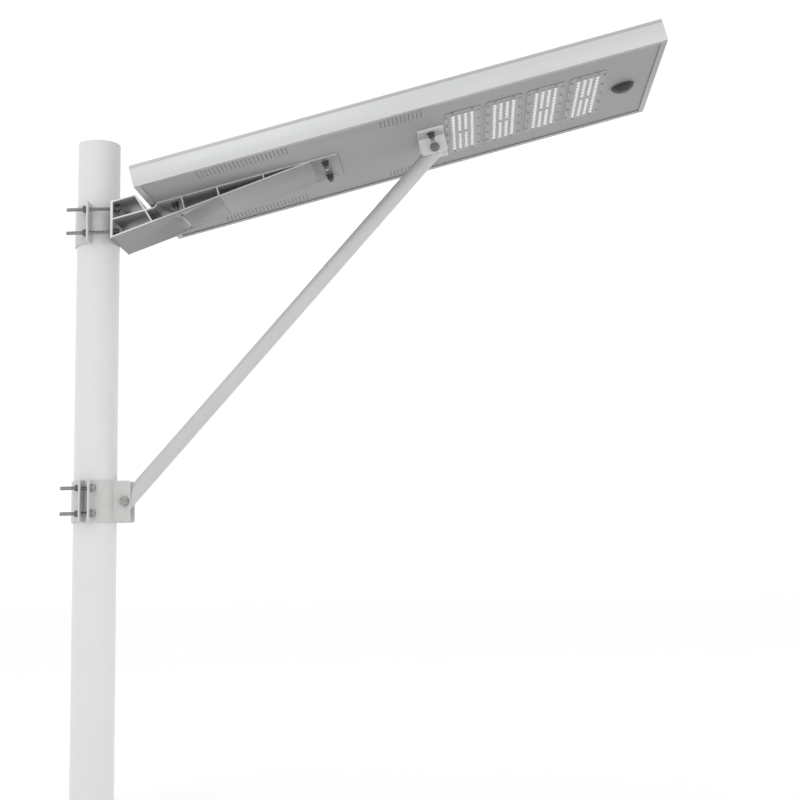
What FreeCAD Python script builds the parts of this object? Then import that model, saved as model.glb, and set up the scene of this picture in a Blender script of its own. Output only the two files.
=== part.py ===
import FreeCAD, Part
import math
import os

# Solar street lamp on the top section of its pole.
#
# World frame, millimetres: the origin is the centre of the pole's lower end, +Z runs up the
# pole, and the lamp reaches out along +X.
#
# Head frame: the lamp head and its arm are drawn level and then tilted. There x runs along the
# head from its edge nearest the pole, y across it, and z up from its underside.

Vec = FreeCAD.Vector
X_AXIS = Vec(1, 0, 0)
Y_AXIS = Vec(0, 1, 0)
Z_AXIS = Vec(0, 0, 1)

# ---- Pole ----------------------------------------------------------------------------------------
POLE_DIAMETER = 89.0
POLE_WALL = 3.5
POLE_LENGTH = 1400.0
SOCKET_DEPTH = 250.0            # the lower end is bored out to slip over the section below
SOCKET_EXTRA_RADIUS = 0.5
CAP_THICKNESS = 3.0

# ---- Lamp head -----------------------------------------------------------------------------------
HEAD_LENGTH = 1090.0
HEAD_WIDTH = 422.0
HEAD_THICKNESS = 45.0
TILT = 14.0                     # degrees that the head's free end rises
ARM_REACH = 86.5                # from the pole's surface to the head's near edge, along its underside
HEAD_DROP = 187.0               # from the pole's top down to that underside line at the axis

# Frame rails, one extrusion mitred at the corners
RAIL_WALL = 1.6
RAIL_WIDTH = 12.0
LIP_OVERHANG = 1.0              # how far the top lip reaches past the rail's inner face
RAIL_STEP = 0.5                 # the strip along the top is set back from the face below it
RAIL_STEP_HEIGHT = 7.0
GLASS_THICKNESS = 3.2
ENCAPSULANT_THICKNESS = 1.2
BACKSHEET_THICKNESS = 0.4
LAMINATE_SEAL = 0.35            # thickness of the seal above and below the laminate
LAMINATE_EDGE_GAP = 1.5         # from the rail's wall to the laminate's edge
PLATE_THICKNESS = 1.5
PLATE_SEAL = 1.1
PLATE_SEAL_INSET = 1.0          # from the rail's inner edge back to the seal's
PLATE_EDGE_GAP = 1.0
GROOVE_PLAY = 0.3
KEY_LEG = 42.0
KEY_CLEARANCE = 0.2

# ---- Solar cells ---------------------------------------------------------------------------------
CELL_COLUMNS = 3
CELL_ROWS = 11
CELL_WIDTH = 125.0
CELL_LENGTH = 92.0
CELL_GAP_ACROSS = 3.7
CELL_GAP_ALONG = 3.3
CELL_CHAMFER = 12.5
CELL_THICKNESS = 0.2
RIBBON_WIDTH = 2.0
RIBBON_THICKNESS = 0.1
RIBBON_PLACES = (0.24, 0.75)    # across each cell, as shares of its width
JUNCTION_BOX = (60.0, 70.0, 12.0)
JUNCTION_BOX_X = 530.0
JUNCTION_BOX_CORNER = 3.0

# ---- Fasteners, M8 for the brackets and clamps ---------------------------------------------------
BOLT_DIAMETER = 8.0
BOLT_HOLE_CLEARANCE = 0.5       # radial, in every plate that a bolt passes through
THREAD_CLEARANCE = 0.05         # radial, between a thread and its nut
NUT_FLATS = 13.0
NUT_HEIGHT = 6.5
BOLT_HEAD_HEIGHT = 5.3
WASHER_DIAMETER = 16.0
WASHER_THICKNESS = 1.6
SPRING_WASHER_DIAMETER = 13.2
SPRING_WASHER_THICKNESS = 2.0
THREAD_END = 2.1                # thread left showing past a nut
BOLT_TIP = 1.0                  # length of the cone at the end of a thread

# ---- Arm bracket, an aluminium truss extrusion lying across the head -----------------------------
ARM_WALL = 3.0
ARM_END_WALL = 5.0
ARM_FLANGE = 4.0
ARM_FLANGE_START = 341.0
ARM_FLANGE_END = 403.0
ARM_END_TOP = 45.0              # end plate, above the underside line at the pole's axis
ARM_END_BOTTOM = -35.0
ARM_TOP_LENGTH = 50.0
ARM_MIDDLE_Z = -6.5
ARM_DIAGONAL_FOOT = -3.2
ARM_DIAGONAL_MIDDLE = -11.8
ARM_WEBS = (68.4, 144.5, 243.3)
ARM_RISER_START = 9.0
ARM_RISER_END = 16.0
ARM_NOSE_X = 343.0
POLE_CLEARANCE = 0.3            # between the pole and whatever turns around it
ARM_BOLT_X = (49.0, 374.0)
HEAD_BOLT_Y = 47.0
ACCESS_HOLE = 22.0
GROOVE_DEPTH = 0.8              # fine line scored along the arm's underside
GROOVE_WIDTH = 1.2
BACKING_PLATE = 3.0
ARM_BACKING_MARGIN = 25.0
ARM_BACKING_WIDTH = 160.0
HEAD_BOLT_LENGTH = 26.0

# ---- Upper clamp ---------------------------------------------------------------------------------
CLAMP_WALL = 3.5
CLAMP_BOLT_MARGIN = 10.7        # from the hoop's outer face to a bolt's centre
CLAMP_EDGE_MARGIN = 16.0        # from a bolt's centre to the flange's edge
UPPER_CLAMP_HEIGHT = 83.0
UPPER_CLAMP_Z = 4.0             # middle of the rear half, from the underside line at the axis
UPPER_FLANGE_X = -2.5
UPPER_BOLT_Z = 7.0
UPPER_BOLT_SPACING = 50.0
CLAMP_THREAD_PAST = 35.0        # thread past the rear nuts, which lets the half slide back
CLAMP_EDGE_FILLET = 3.0

# ---- Lower clamp ---------------------------------------------------------------------------------
LOWER_CLAMP_DROP = 576.0        # below the underside line at the axis
LOWER_CLAMP_HEIGHT = 85.0
LOWER_FRONT_FLANGE_X = 3.5
LOWER_REAR_FLANGE_X = -11.5
LOWER_BOLT_SPACING = 52.0
LOWER_THREAD_PAST = 31.0

# ---- Strut and its two pivots --------------------------------------------------------------------
STRUT_DIAMETER = 32.0
STRUT_WALL = 2.0
STRUT_OVERHANG = 8.0
EAR_WALL = 3.0
SPACER_THICKNESS = 1.0
SPACER_DIAMETER = 20.0
PIVOT_DIAMETER = 10.0
PIVOT_CLEARANCE = 0.25
PIVOT_FLATS = 16.0
PIVOT_HEAD_HEIGHT = 6.4
PIVOT_NUT_HEIGHT = 8.4
PIVOT_WASHER_DIAMETER = 20.0
PIVOT_WASHER_THICKNESS = 2.0
EAR_MARGIN = 1.7                # ear left past the pivot's washer
EAR_CORNER = 5.0
STRUT_FOOT_GAP = 0.6            # from the strut's lower end to the clamp as it turns on its pivot
STRUT_HEAD_GAP = 5.5            # from the strut's upper end to the lug's base
LUG_X = 602.0
LUG_LENGTH = 56.0
LUG_WIDTH = 140.0
LUG_BASE = 4.0
LUG_PIVOT_OFFSET = 2.0
LUG_BACKING_LENGTH = 50.0
PLUG_DEPTH = 6.0
PLUG_WALL = 1.5

# ---- LED modules ---------------------------------------------------------------------------------
MODULE_COUNT = 4
MODULE_FIRST_X = 671.1
MODULE_PITCH = 88.6
MODULE_LENGTH = 79.0            # along the head
MODULE_WIDTH = 255.0            # across the head
MODULE_CHAMFER = 6.0
MODULE_FLANGE = 2.5
MODULE_COVER_WALL = 0.9
MODULE_WINDOW_LENGTH = 62.0
MODULE_WINDOW_WIDTH = 236.0
LENS_FIELD_LENGTH = 56.0
LENS_FIELD_WIDTH = 226.0
LENS_ROWS = 4
LENS_COLUMNS = 13
LENS_ROW_PITCH = 13.3
LENS_COLUMN_PITCH = 17.0
LENS_DIAMETER = 11.0
LENS_HEIGHT = 3.0
CHIP_SIZE = 3.5
CHIP_HEIGHT = 0.8
BOARD_CLEARANCE = 0.5
SINK_BASE = 4.0
SINK_FIN_HEIGHT = 13.0
SINK_FIN_THICKNESS = 1.6
SINK_FINS = 6
SINK_FIN_PITCH = 12.5
SCREW_DIAMETER = 3.0
SCREW_CLEARANCE = 0.2
SCREW_HEAD_DIAMETER = 5.4
SCREW_HEAD_HEIGHT = 1.8
SCREW_GRIP = 3.5                # depth of thread in the heat sink
SCREWS_ALONG_EDGE = 5
SCREW_PITCH = 52.8
SCREW_EDGE_X = 34.4
SCREW_END_X = 19.5
SCREW_END_Y = 122.8

# ---- Motion sensor -------------------------------------------------------------------------------
SENSOR_X = 1020.0
SENSOR_DIAMETER = 51.0
SENSOR_RING_DIAMETER = 55.0
SENSOR_RING_THICKNESS = 1.4
SENSOR_DOME_HEIGHT = 14.0
SENSOR_DOME_WALL = 1.6
SENSOR_HOUSING_HEIGHT = 20.0
SENSOR_HOUSING_WALL = 2.0
SENSOR_RIM = 5.0
SENSOR_ELEMENT_DIAMETER = 9.0
SENSOR_ELEMENT_HEIGHT = 4.5

# ---- Vent holes in the back plate ----------------------------------------------------------------
VENT_DIAMETER = 4.0
VENT_PITCH_ACROSS = 8.6
VENT_PITCH_ALONG = 8.35
VENT_COLUMNS = 5
VENT_MIDDLE_Y = 168.5
VENT_FIELDS = ((124.5, 23), (503.5, 11))    # first row and number of rows, each side

# ---- Battery -------------------------------------------------------------------------------------
BATTERY_X = 200.0
BATTERY_CELL_DIAMETER = 26.2
BATTERY_CELL_LENGTH = 65.3
BATTERY_ROWS = 3
BATTERY_COLUMNS = 8
BATTERY_GAP = 0.8
BATTERY_WALL = 1.5
LINK_THICKNESS = 0.5
LINK_HEIGHT = 10.0
BATTERY_BOARD_BAY = 26.0
BATTERY_BOARD_WIDTH = 18.0
BATTERY_BOARD_REST = 4.0
BATTERY_LID_PLAY = 0.3
TRANSISTOR = (10.0, 6.0, 2.3)

# ---- Charge controller ---------------------------------------------------------------------------
CONTROLLER_X = 405.0
CONTROLLER_LENGTH = 86.0
CONTROLLER_WIDTH = 130.0
CONTROLLER_HEIGHT = 26.0
CONTROLLER_WALL = 1.5
CONTROLLER_POST = 5.0
CONTROLLER_POST_DIAMETER = 5.0
CONTROLLER_POST_INSET = 6.0
INDUCTOR_DIAMETER = 18.0
INDUCTOR_HEIGHT = 9.0
INDUCTOR_Y = (-40.0, -14.0)
CAPACITOR_DIAMETER = 10.0
CAPACITOR_HEIGHT = 12.0
CAPACITOR_X = -18.0             # from the board's middle
DRIVER = (12.0, 10.0, 5.0)      # length, width and height of a driver transistor
DRIVER_X = 14.0
OUTPUT_Y = (12.0, 26.0, 40.0)   # one capacitor and one driver transistor at each
LEAD_DIAMETER = 3.0
LEAD_BEND = 7.0
LEAD_SPACING = 24.0

OVERSHOOT = 1.0                 # how far a cutting tool runs past the face that it cuts

# ---- Sizes that follow from those above ----------------------------------------------------------
POLE_RADIUS = POLE_DIAMETER / 2
POLE_BORE_RADIUS = POLE_RADIUS - POLE_WALL
HEAD_HEIGHT = POLE_LENGTH - HEAD_DROP
HEAD_SETBACK = POLE_RADIUS + ARM_REACH
TOP_LIP_WIDTH = RAIL_WIDTH + LIP_OVERHANG
BOLT_RADIUS = BOLT_DIAMETER / 2
BOLT_HOLE_RADIUS = BOLT_RADIUS + BOLT_HOLE_CLEARANCE
SCREW_HOLE_RADIUS = SCREW_DIAMETER / 2 + SCREW_CLEARANCE
NUT_STACK = WASHER_THICKNESS + SPRING_WASHER_THICKNESS + NUT_HEIGHT
PIVOT_RADIUS = PIVOT_DIAMETER / 2

PLATE_BOTTOM = RAIL_WALL + PLATE_SEAL
PLATE_TOP = PLATE_BOTTOM + PLATE_THICKNESS
PLATE_GROOVE_TOP = PLATE_TOP + GROOVE_PLAY
LIP_BOTTOM = HEAD_THICKNESS - RAIL_WALL
LAMINATE_TOP = LIP_BOTTOM - LAMINATE_SEAL
GLASS_BOTTOM = LAMINATE_TOP - GLASS_THICKNESS
ENCAPSULANT_BOTTOM = GLASS_BOTTOM - ENCAPSULANT_THICKNESS
LAMINATE_BOTTOM = ENCAPSULANT_BOTTOM - BACKSHEET_THICKNESS
LEDGE_TOP = LAMINATE_BOTTOM - LAMINATE_SEAL
CELL_BOTTOM = ENCAPSULANT_BOTTOM + ENCAPSULANT_THICKNESS / 2
BACKING_TOP = PLATE_TOP + BACKING_PLATE
ARM_FACE_X = POLE_RADIUS + POLE_CLEARANCE
LENS_FACE = PLATE_BOTTOM - MODULE_FLANGE
BOARD_THICKNESS = PLATE_THICKNESS           # each board fills its window, pressed on its cover

HOOP_INNER = POLE_RADIUS + POLE_CLEARANCE
HOOP_OUTER = HOOP_INNER + CLAMP_WALL
CLAMP_BOLT_Y = HOOP_OUTER + CLAMP_BOLT_MARGIN
CLAMP_WIDTH = 2 * (CLAMP_BOLT_Y + CLAMP_EDGE_MARGIN)
ARM_WIDTH = CLAMP_WIDTH

EAR_GAP = STRUT_DIAMETER + 2 * SPACER_THICKNESS
EAR_PAST_PIVOT = PIVOT_WASHER_DIAMETER / 2 + EAR_MARGIN
STRUT_CORNER = math.hypot(STRUT_DIAMETER / 2, STRUT_OVERHANG)   # from a pivot to the tube end's rim
LOWER_PIVOT_X = HOOP_OUTER + STRUT_FOOT_GAP + STRUT_CORNER
LUG_PIVOT_DROP = LUG_BASE - PLATE_BOTTOM + STRUT_HEAD_GAP + STRUT_CORNER

HALF_WIDTH = HEAD_WIDTH / 2


# ---- Small building blocks -----------------------------------------------------------------------
def box(x0, x1, y0, y1, z0, z1):
    """A block between two corners."""
    return Part.makeBox(x1 - x0, y1 - y0, z1 - z0, Vec(x0, y0, z0))


def rod(start, end, radius):
    """A round bar between two points."""
    along = end.sub(start)
    return Part.makeCylinder(radius, along.Length, start, along)


def ring(start, end, outer, inner):
    """A round tube between two points."""
    along = end.sub(start).normalize()
    through = rod(start.sub(along), end.add(along), inner)
    return rod(start, end, outer).cut(through)


def drill(x, y, z0, z1, radius):
    """A tool that drills upright through a layer, running past both its faces."""
    return rod(Vec(x, y, z0 - OVERSHOOT), Vec(x, y, z1 + OVERSHOOT), radius)


def prism(points, along):
    """A solid with a polygon of points as its section, running by the vector along."""
    corners = [Vec(*point) for point in points]
    face = Part.Face(Part.makePolygon(corners + corners[:1]))
    return face.extrude(along)


def across(points, width):
    """A solid of constant section drawn as (x, z) points and centred across the head."""
    return prism([(x, -width / 2, z) for x, z in points], Vec(0, width, 0))


def strip(start, end, thickness, width):
    """One wall of an extrusion between two (x, z) points, with rounded ends."""
    run = Vec(end[0] - start[0], 0, end[1] - start[1])
    side = Vec(-run.z, 0, run.x).normalize().multiply(thickness / 2)
    corners = []
    for point, sign in ((start, -1), (end, -1), (end, 1), (start, 1)):
        corners.append((point[0] + sign * side.x, point[1] + sign * side.z))
    wall = across(corners, width)
    ends = [rod(Vec(x, -width / 2, z), Vec(x, width / 2, z), thickness / 2) for x, z in (start, end)]
    return wall.fuse(ends)


def joined(shapes):
    """Several touching solids made into one, without seams between coplanar faces."""
    return shapes[0].fuse(shapes[1:]).removeSplitter()


def without(shape, tools):
    """A solid with several tools cut away."""
    return shape.cut(Part.makeCompound(tools))


def aimed(shape, point, direction):
    """A shape drawn up +Z from the origin, turned to point along direction and moved to point."""
    placed = shape.copy()
    placed.Placement = FreeCAD.Placement(point, FreeCAD.Rotation(Z_AXIS, direction))
    return placed


def tilted(shape):
    """A shape in the head frame, moved to its place in the world frame."""
    placed = shape.copy()
    placed.translate(Vec(HEAD_SETBACK, 0, 0))
    placed.rotate(Vec(0, 0, 0), Y_AXIS, -TILT)
    placed.translate(Vec(0, 0, HEAD_HEIGHT))
    return placed


def head_point(x, z):
    """Where a world point x from the pole's axis and z above the underside line is in the head frame."""
    cosine = math.cos(math.radians(TILT))
    sine = math.sin(math.radians(TILT))
    return x * cosine + z * sine - HEAD_SETBACK, z * cosine - x * sine


def world_point(x, z):
    """Where a head-frame point is in the world frame, at the middle of the head's width."""
    cosine = math.cos(math.radians(TILT))
    sine = math.sin(math.radians(TILT))
    reach = x + HEAD_SETBACK
    return Vec(reach * cosine - z * sine, 0, HEAD_HEIGHT + reach * sine + z * cosine)


# ---- Fasteners, drawn up +Z from their seat ------------------------------------------------------
def hexagon(flats, height):
    """A hexagonal block with its corners chamfered at both ends."""
    corner = flats / math.sqrt(3)
    points = []
    for step in range(6):
        angle = math.radians(30 + 60 * step)
        points.append((corner * math.cos(angle), corner * math.sin(angle), 0))
    chamfer = corner - flats / 2
    turned = Part.makeCylinder(corner, height)
    turned = turned.makeChamfer(chamfer / 2, chamfer, turned.Edges[:1] + turned.Edges[2:3])
    return prism(points, Vec(0, 0, height)).common(turned)


def nut_stack(radius, flats, height, washer_diameter, washer, spring_diameter, spring):
    """A washer, a spring washer where there is one, and a nut, threaded on a bolt of this radius."""
    top = washer + spring + height
    hole = rod(Vec(0, 0, -OVERSHOOT), Vec(0, 0, top + OVERSHOOT), radius + THREAD_CLEARANCE)
    pieces = [rod(Vec(0, 0, 0), Vec(0, 0, washer), washer_diameter / 2)]
    if spring > 0:
        pieces.append(rod(Vec(0, 0, washer), Vec(0, 0, washer + spring), spring_diameter / 2))
    nut = hexagon(flats, height)
    nut.translate(Vec(0, 0, washer + spring))
    pieces.append(nut)
    return Part.makeCompound([piece.cut(hole) for piece in pieces])


def m8_nut_stack():
    return nut_stack(BOLT_RADIUS, NUT_FLATS, NUT_HEIGHT, WASHER_DIAMETER, WASHER_THICKNESS,
                     SPRING_WASHER_DIAMETER, SPRING_WASHER_THICKNESS)


def hex_bolt(radius, flats, head, length):
    """A hexagon bolt whose head stands above its seat and whose shank runs down from it."""
    shank = rod(Vec(0, 0, BOLT_TIP - length), Vec(0, 0, head / 2), radius)
    cone = Part.makeCone(radius - BOLT_TIP / 2, radius, BOLT_TIP, Vec(0, 0, -length))
    return joined([hexagon(flats, head), shank, cone])


def stud(start, end, radius):
    """A threaded rod with chamfered ends."""
    along = end.sub(start).normalize().multiply(BOLT_TIP)
    first = Part.makeCone(radius - BOLT_TIP / 2, radius, BOLT_TIP, start, along)
    last = Part.makeCone(radius - BOLT_TIP / 2, radius, BOLT_TIP, end, along.negative())
    return joined([rod(start.add(along), end.sub(along), radius), first, last])


# ---- Pole ----------------------------------------------------------------------------------------
def make_pole():
    top = Vec(0, 0, POLE_LENGTH)
    tube = ring(Vec(0, 0, 0), top, POLE_RADIUS, POLE_BORE_RADIUS)
    socket = rod(Vec(0, 0, -OVERSHOOT), Vec(0, 0, SOCKET_DEPTH), POLE_BORE_RADIUS + SOCKET_EXTRA_RADIUS)
    return tube.cut(socket)


def make_pole_cap():
    return rod(Vec(0, 0, POLE_LENGTH - CAP_THICKNESS), Vec(0, 0, POLE_LENGTH), POLE_BORE_RADIUS)


# ---- Head frame ----------------------------------------------------------------------------------
def rail_section():
    """The rail's outline as (distance in from the head's edge, height), and its hollow chamber."""
    step_z = HEAD_THICKNESS - RAIL_STEP_HEIGHT
    outline = [
        (0, 0), (RAIL_WIDTH, 0), (RAIL_WIDTH, RAIL_WALL), (RAIL_WALL, RAIL_WALL),
        (RAIL_WALL, PLATE_GROOVE_TOP), (RAIL_WIDTH, PLATE_GROOVE_TOP),
        (RAIL_WIDTH, LEDGE_TOP), (RAIL_WALL + RAIL_STEP, LEDGE_TOP),
        (RAIL_WALL + RAIL_STEP, LIP_BOTTOM), (TOP_LIP_WIDTH, LIP_BOTTOM),
        (TOP_LIP_WIDTH, HEAD_THICKNESS), (RAIL_STEP, HEAD_THICKNESS),
        (RAIL_STEP, step_z), (0, step_z),
    ]
    chamber = [
        (RAIL_WALL, PLATE_GROOVE_TOP + RAIL_WALL), (RAIL_WIDTH - RAIL_WALL, PLATE_GROOVE_TOP + RAIL_WALL),
        (RAIL_WIDTH - RAIL_WALL, LEDGE_TOP - RAIL_WALL), (RAIL_WALL, LEDGE_TOP - RAIL_WALL),
    ]
    return outline, chamber


def make_rail(length):
    """A mitred rail along +X from the origin, with its outer face on y = 0 and its inside at +y."""
    outline, chamber = rail_section()
    bar = prism([(0, inward, height) for inward, height in outline], Vec(length, 0, 0))
    hollow = prism([(0, inward, height) for inward, height in chamber], Vec(length, 0, 0))
    depth = TOP_LIP_WIDTH
    plan = [(0, 0, 0), (length, 0, 0), (length - depth, depth, 0), (depth, depth, 0)]
    mitre = prism(plan, Vec(0, 0, HEAD_THICKNESS))
    return bar.cut(hollow).common(mitre)


def make_side_rail(side):
    rail = make_rail(HEAD_LENGTH)
    if side > 0:
        rail.rotate(Vec(HEAD_LENGTH / 2, 0, 0), Z_AXIS, 180)
    rail.translate(Vec(0, side * HALF_WIDTH, 0))
    return rail


def make_end_rail(at_free_end):
    rail = make_rail(HEAD_WIDTH)
    rail.translate(Vec(-HALF_WIDTH, 0, 0))
    rail.rotate(Vec(0, 0, 0), Z_AXIS, 90 if at_free_end else -90)
    rail.translate(Vec(HEAD_LENGTH if at_free_end else 0, 0, 0))
    return rail


def make_corner_keys():
    low = RAIL_WALL + KEY_CLEARANCE
    high = RAIL_WIDTH - RAIL_WALL - KEY_CLEARANCE
    bottom = PLATE_GROOVE_TOP + RAIL_WALL + KEY_CLEARANCE
    top = LEDGE_TOP - RAIL_WALL - KEY_CLEARANCE
    legs = [box(low, KEY_LEG, low, high, bottom, top), box(low, high, low, KEY_LEG, bottom, top)]
    key = joined(legs)
    key.translate(Vec(0, -HALF_WIDTH, 0))
    keys = [key, key.mirror(Vec(0, 0, 0), Y_AXIS)]
    keys += [one.mirror(Vec(HEAD_LENGTH / 2, 0, 0), X_AXIS) for one in keys]
    return Part.makeCompound(keys)


def slab(inset, z0, z1):
    """A flat layer of the head, inset all round from its outer edge."""
    return box(inset, HEAD_LENGTH - inset, inset - HALF_WIDTH, HALF_WIDTH - inset, z0, z1)


# ---- Back plate ----------------------------------------------------------------------------------
def module_places():
    return [MODULE_FIRST_X + step * MODULE_PITCH for step in range(MODULE_COUNT)]


def module_screw_places():
    """Screw centres round one LED module, from its middle."""
    places = []
    for step in range(SCREWS_ALONG_EDGE):
        y = (step - (SCREWS_ALONG_EDGE - 1) / 2) * SCREW_PITCH
        places += [(-SCREW_EDGE_X, y), (SCREW_EDGE_X, y)]
    for x in (-SCREW_END_X, SCREW_END_X):
        places += [(x, -SCREW_END_Y), (x, SCREW_END_Y)]
    return places


def vent_places():
    """Centres of the vent holes, on both sides of the back plate."""
    places = []
    for first_x, rows in VENT_FIELDS:
        for row in range(rows):
            for column in range(VENT_COLUMNS):
                y = VENT_MIDDLE_Y + (column - (VENT_COLUMNS - 1) / 2) * VENT_PITCH_ACROSS
                x = first_x + row * VENT_PITCH_ALONG
                places += [(x, y), (x, -y)]
    return places


def head_bolt_places():
    """Where the arm's four bolts and the strut lug's two pass through the back plate."""
    return [(x, side * HEAD_BOLT_Y) for x in ARM_BOLT_X + (LUG_X,) for side in (-1, 1)]


def make_back_plate():
    tools = []
    for x in module_places():
        half_length = MODULE_WINDOW_LENGTH / 2
        half_width = MODULE_WINDOW_WIDTH / 2
        tools.append(box(x - half_length, x + half_length, -half_width, half_width, PLATE_BOTTOM - OVERSHOOT,
                         PLATE_TOP + OVERSHOOT))
        for dx, y in module_screw_places():
            tools.append(drill(x + dx, y, PLATE_BOTTOM, PLATE_TOP, SCREW_HOLE_RADIUS))
    for x, y in vent_places():
        tools.append(drill(x, y, PLATE_BOTTOM, PLATE_TOP, VENT_DIAMETER / 2))
    for x, y in head_bolt_places():
        tools.append(drill(x, y, PLATE_BOTTOM, PLATE_TOP, BOLT_HOLE_RADIUS))
    neck = SENSOR_DIAMETER / 2 - SENSOR_DOME_WALL
    tools.append(drill(SENSOR_X, 0, PLATE_BOTTOM, PLATE_TOP, neck))
    return without(slab(RAIL_WALL + PLATE_EDGE_GAP, PLATE_BOTTOM, PLATE_TOP), tools)


def make_plate_seal():
    outer = slab(RAIL_WALL + PLATE_EDGE_GAP, RAIL_WALL, PLATE_BOTTOM)
    return outer.cut(slab(RAIL_WIDTH - PLATE_SEAL_INSET, RAIL_WALL - OVERSHOOT, PLATE_BOTTOM + OVERSHOOT))


# ---- Solar laminate ------------------------------------------------------------------------------
LAMINATE_INSET = RAIL_WALL + RAIL_STEP + LAMINATE_EDGE_GAP


def make_panel_seal():
    outer = slab(RAIL_WALL + RAIL_STEP, LEDGE_TOP, LIP_BOTTOM)
    opening = slab(RAIL_WIDTH, LEDGE_TOP - OVERSHOOT, LIP_BOTTOM + OVERSHOOT)
    laminate = slab(LAMINATE_INSET, LAMINATE_BOTTOM, LAMINATE_TOP)
    return outer.cut(opening).cut(laminate)


def cell_centres():
    """Middles of the cells, column by column."""
    pitch_x = CELL_LENGTH + CELL_GAP_ALONG
    pitch_y = CELL_WIDTH + CELL_GAP_ACROSS
    centres = []
    for column in range(CELL_COLUMNS):
        y = (column - (CELL_COLUMNS - 1) / 2) * pitch_y
        for row in range(CELL_ROWS):
            centres.append((HEAD_LENGTH / 2 + (row - (CELL_ROWS - 1) / 2) * pitch_x, y))
    return centres


def make_solar_cells():
    """Half-cut cells: the two corners towards the free end are cropped."""
    half_x = CELL_LENGTH / 2
    half_y = CELL_WIDTH / 2
    crop = CELL_CHAMFER
    cells = []
    for x, y in cell_centres():
        points = [
            (x - half_x, y - half_y), (x + half_x - crop, y - half_y), (x + half_x, y - half_y + crop),
            (x + half_x, y + half_y - crop), (x + half_x - crop, y + half_y), (x - half_x, y + half_y),
        ]
        cells.append(prism([(px, py, CELL_BOTTOM) for px, py in points], Vec(0, 0, CELL_THICKNESS)))
    return Part.makeCompound(cells)


def make_cell_ribbons():
    run = CELL_ROWS * (CELL_LENGTH + CELL_GAP_ALONG) / 2
    bottom = CELL_BOTTOM + CELL_THICKNESS
    ribbons = []
    for column in range(CELL_COLUMNS):
        middle = (column - (CELL_COLUMNS - 1) / 2) * (CELL_WIDTH + CELL_GAP_ACROSS)
        for share in RIBBON_PLACES:
            y = middle + (share - 0.5) * CELL_WIDTH
            ribbons.append(box(HEAD_LENGTH / 2 - run, HEAD_LENGTH / 2 + run, y - RIBBON_WIDTH / 2,
                               y + RIBBON_WIDTH / 2, bottom, bottom + RIBBON_THICKNESS))
    return Part.makeCompound(ribbons)


def make_encapsulant():
    layer = slab(LAMINATE_INSET, ENCAPSULANT_BOTTOM, GLASS_BOTTOM)
    return layer.cut(make_solar_cells()).cut(make_cell_ribbons())


def make_junction_box():
    length, width, height = JUNCTION_BOX
    body = box(JUNCTION_BOX_X, JUNCTION_BOX_X + length, -width / 2, width / 2, LAMINATE_BOTTOM - height,
               LAMINATE_BOTTOM)
    upright = [edge for edge in body.Edges if abs(edge.tangentAt(edge.FirstParameter).z) > 0.9]
    return body.makeFillet(JUNCTION_BOX_CORNER, upright)


# ---- Arm bracket ---------------------------------------------------------------------------------
def arm_points():
    """Middle lines of the arm's walls, as (x, z) points in the head frame."""
    wall_x = ARM_FACE_X + ARM_END_WALL / 2
    half_end = ARM_END_WALL / 2
    end_top = head_point(wall_x, ARM_END_TOP - half_end)
    end_bottom = head_point(wall_x, ARM_END_BOTTOM + half_end)
    nose = (ARM_NOSE_X, PLATE_BOTTOM - ARM_WALL)
    slope = (nose[1] - end_bottom[1]) / (nose[0] - end_bottom[0])
    return end_top, end_bottom, nose, slope


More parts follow.
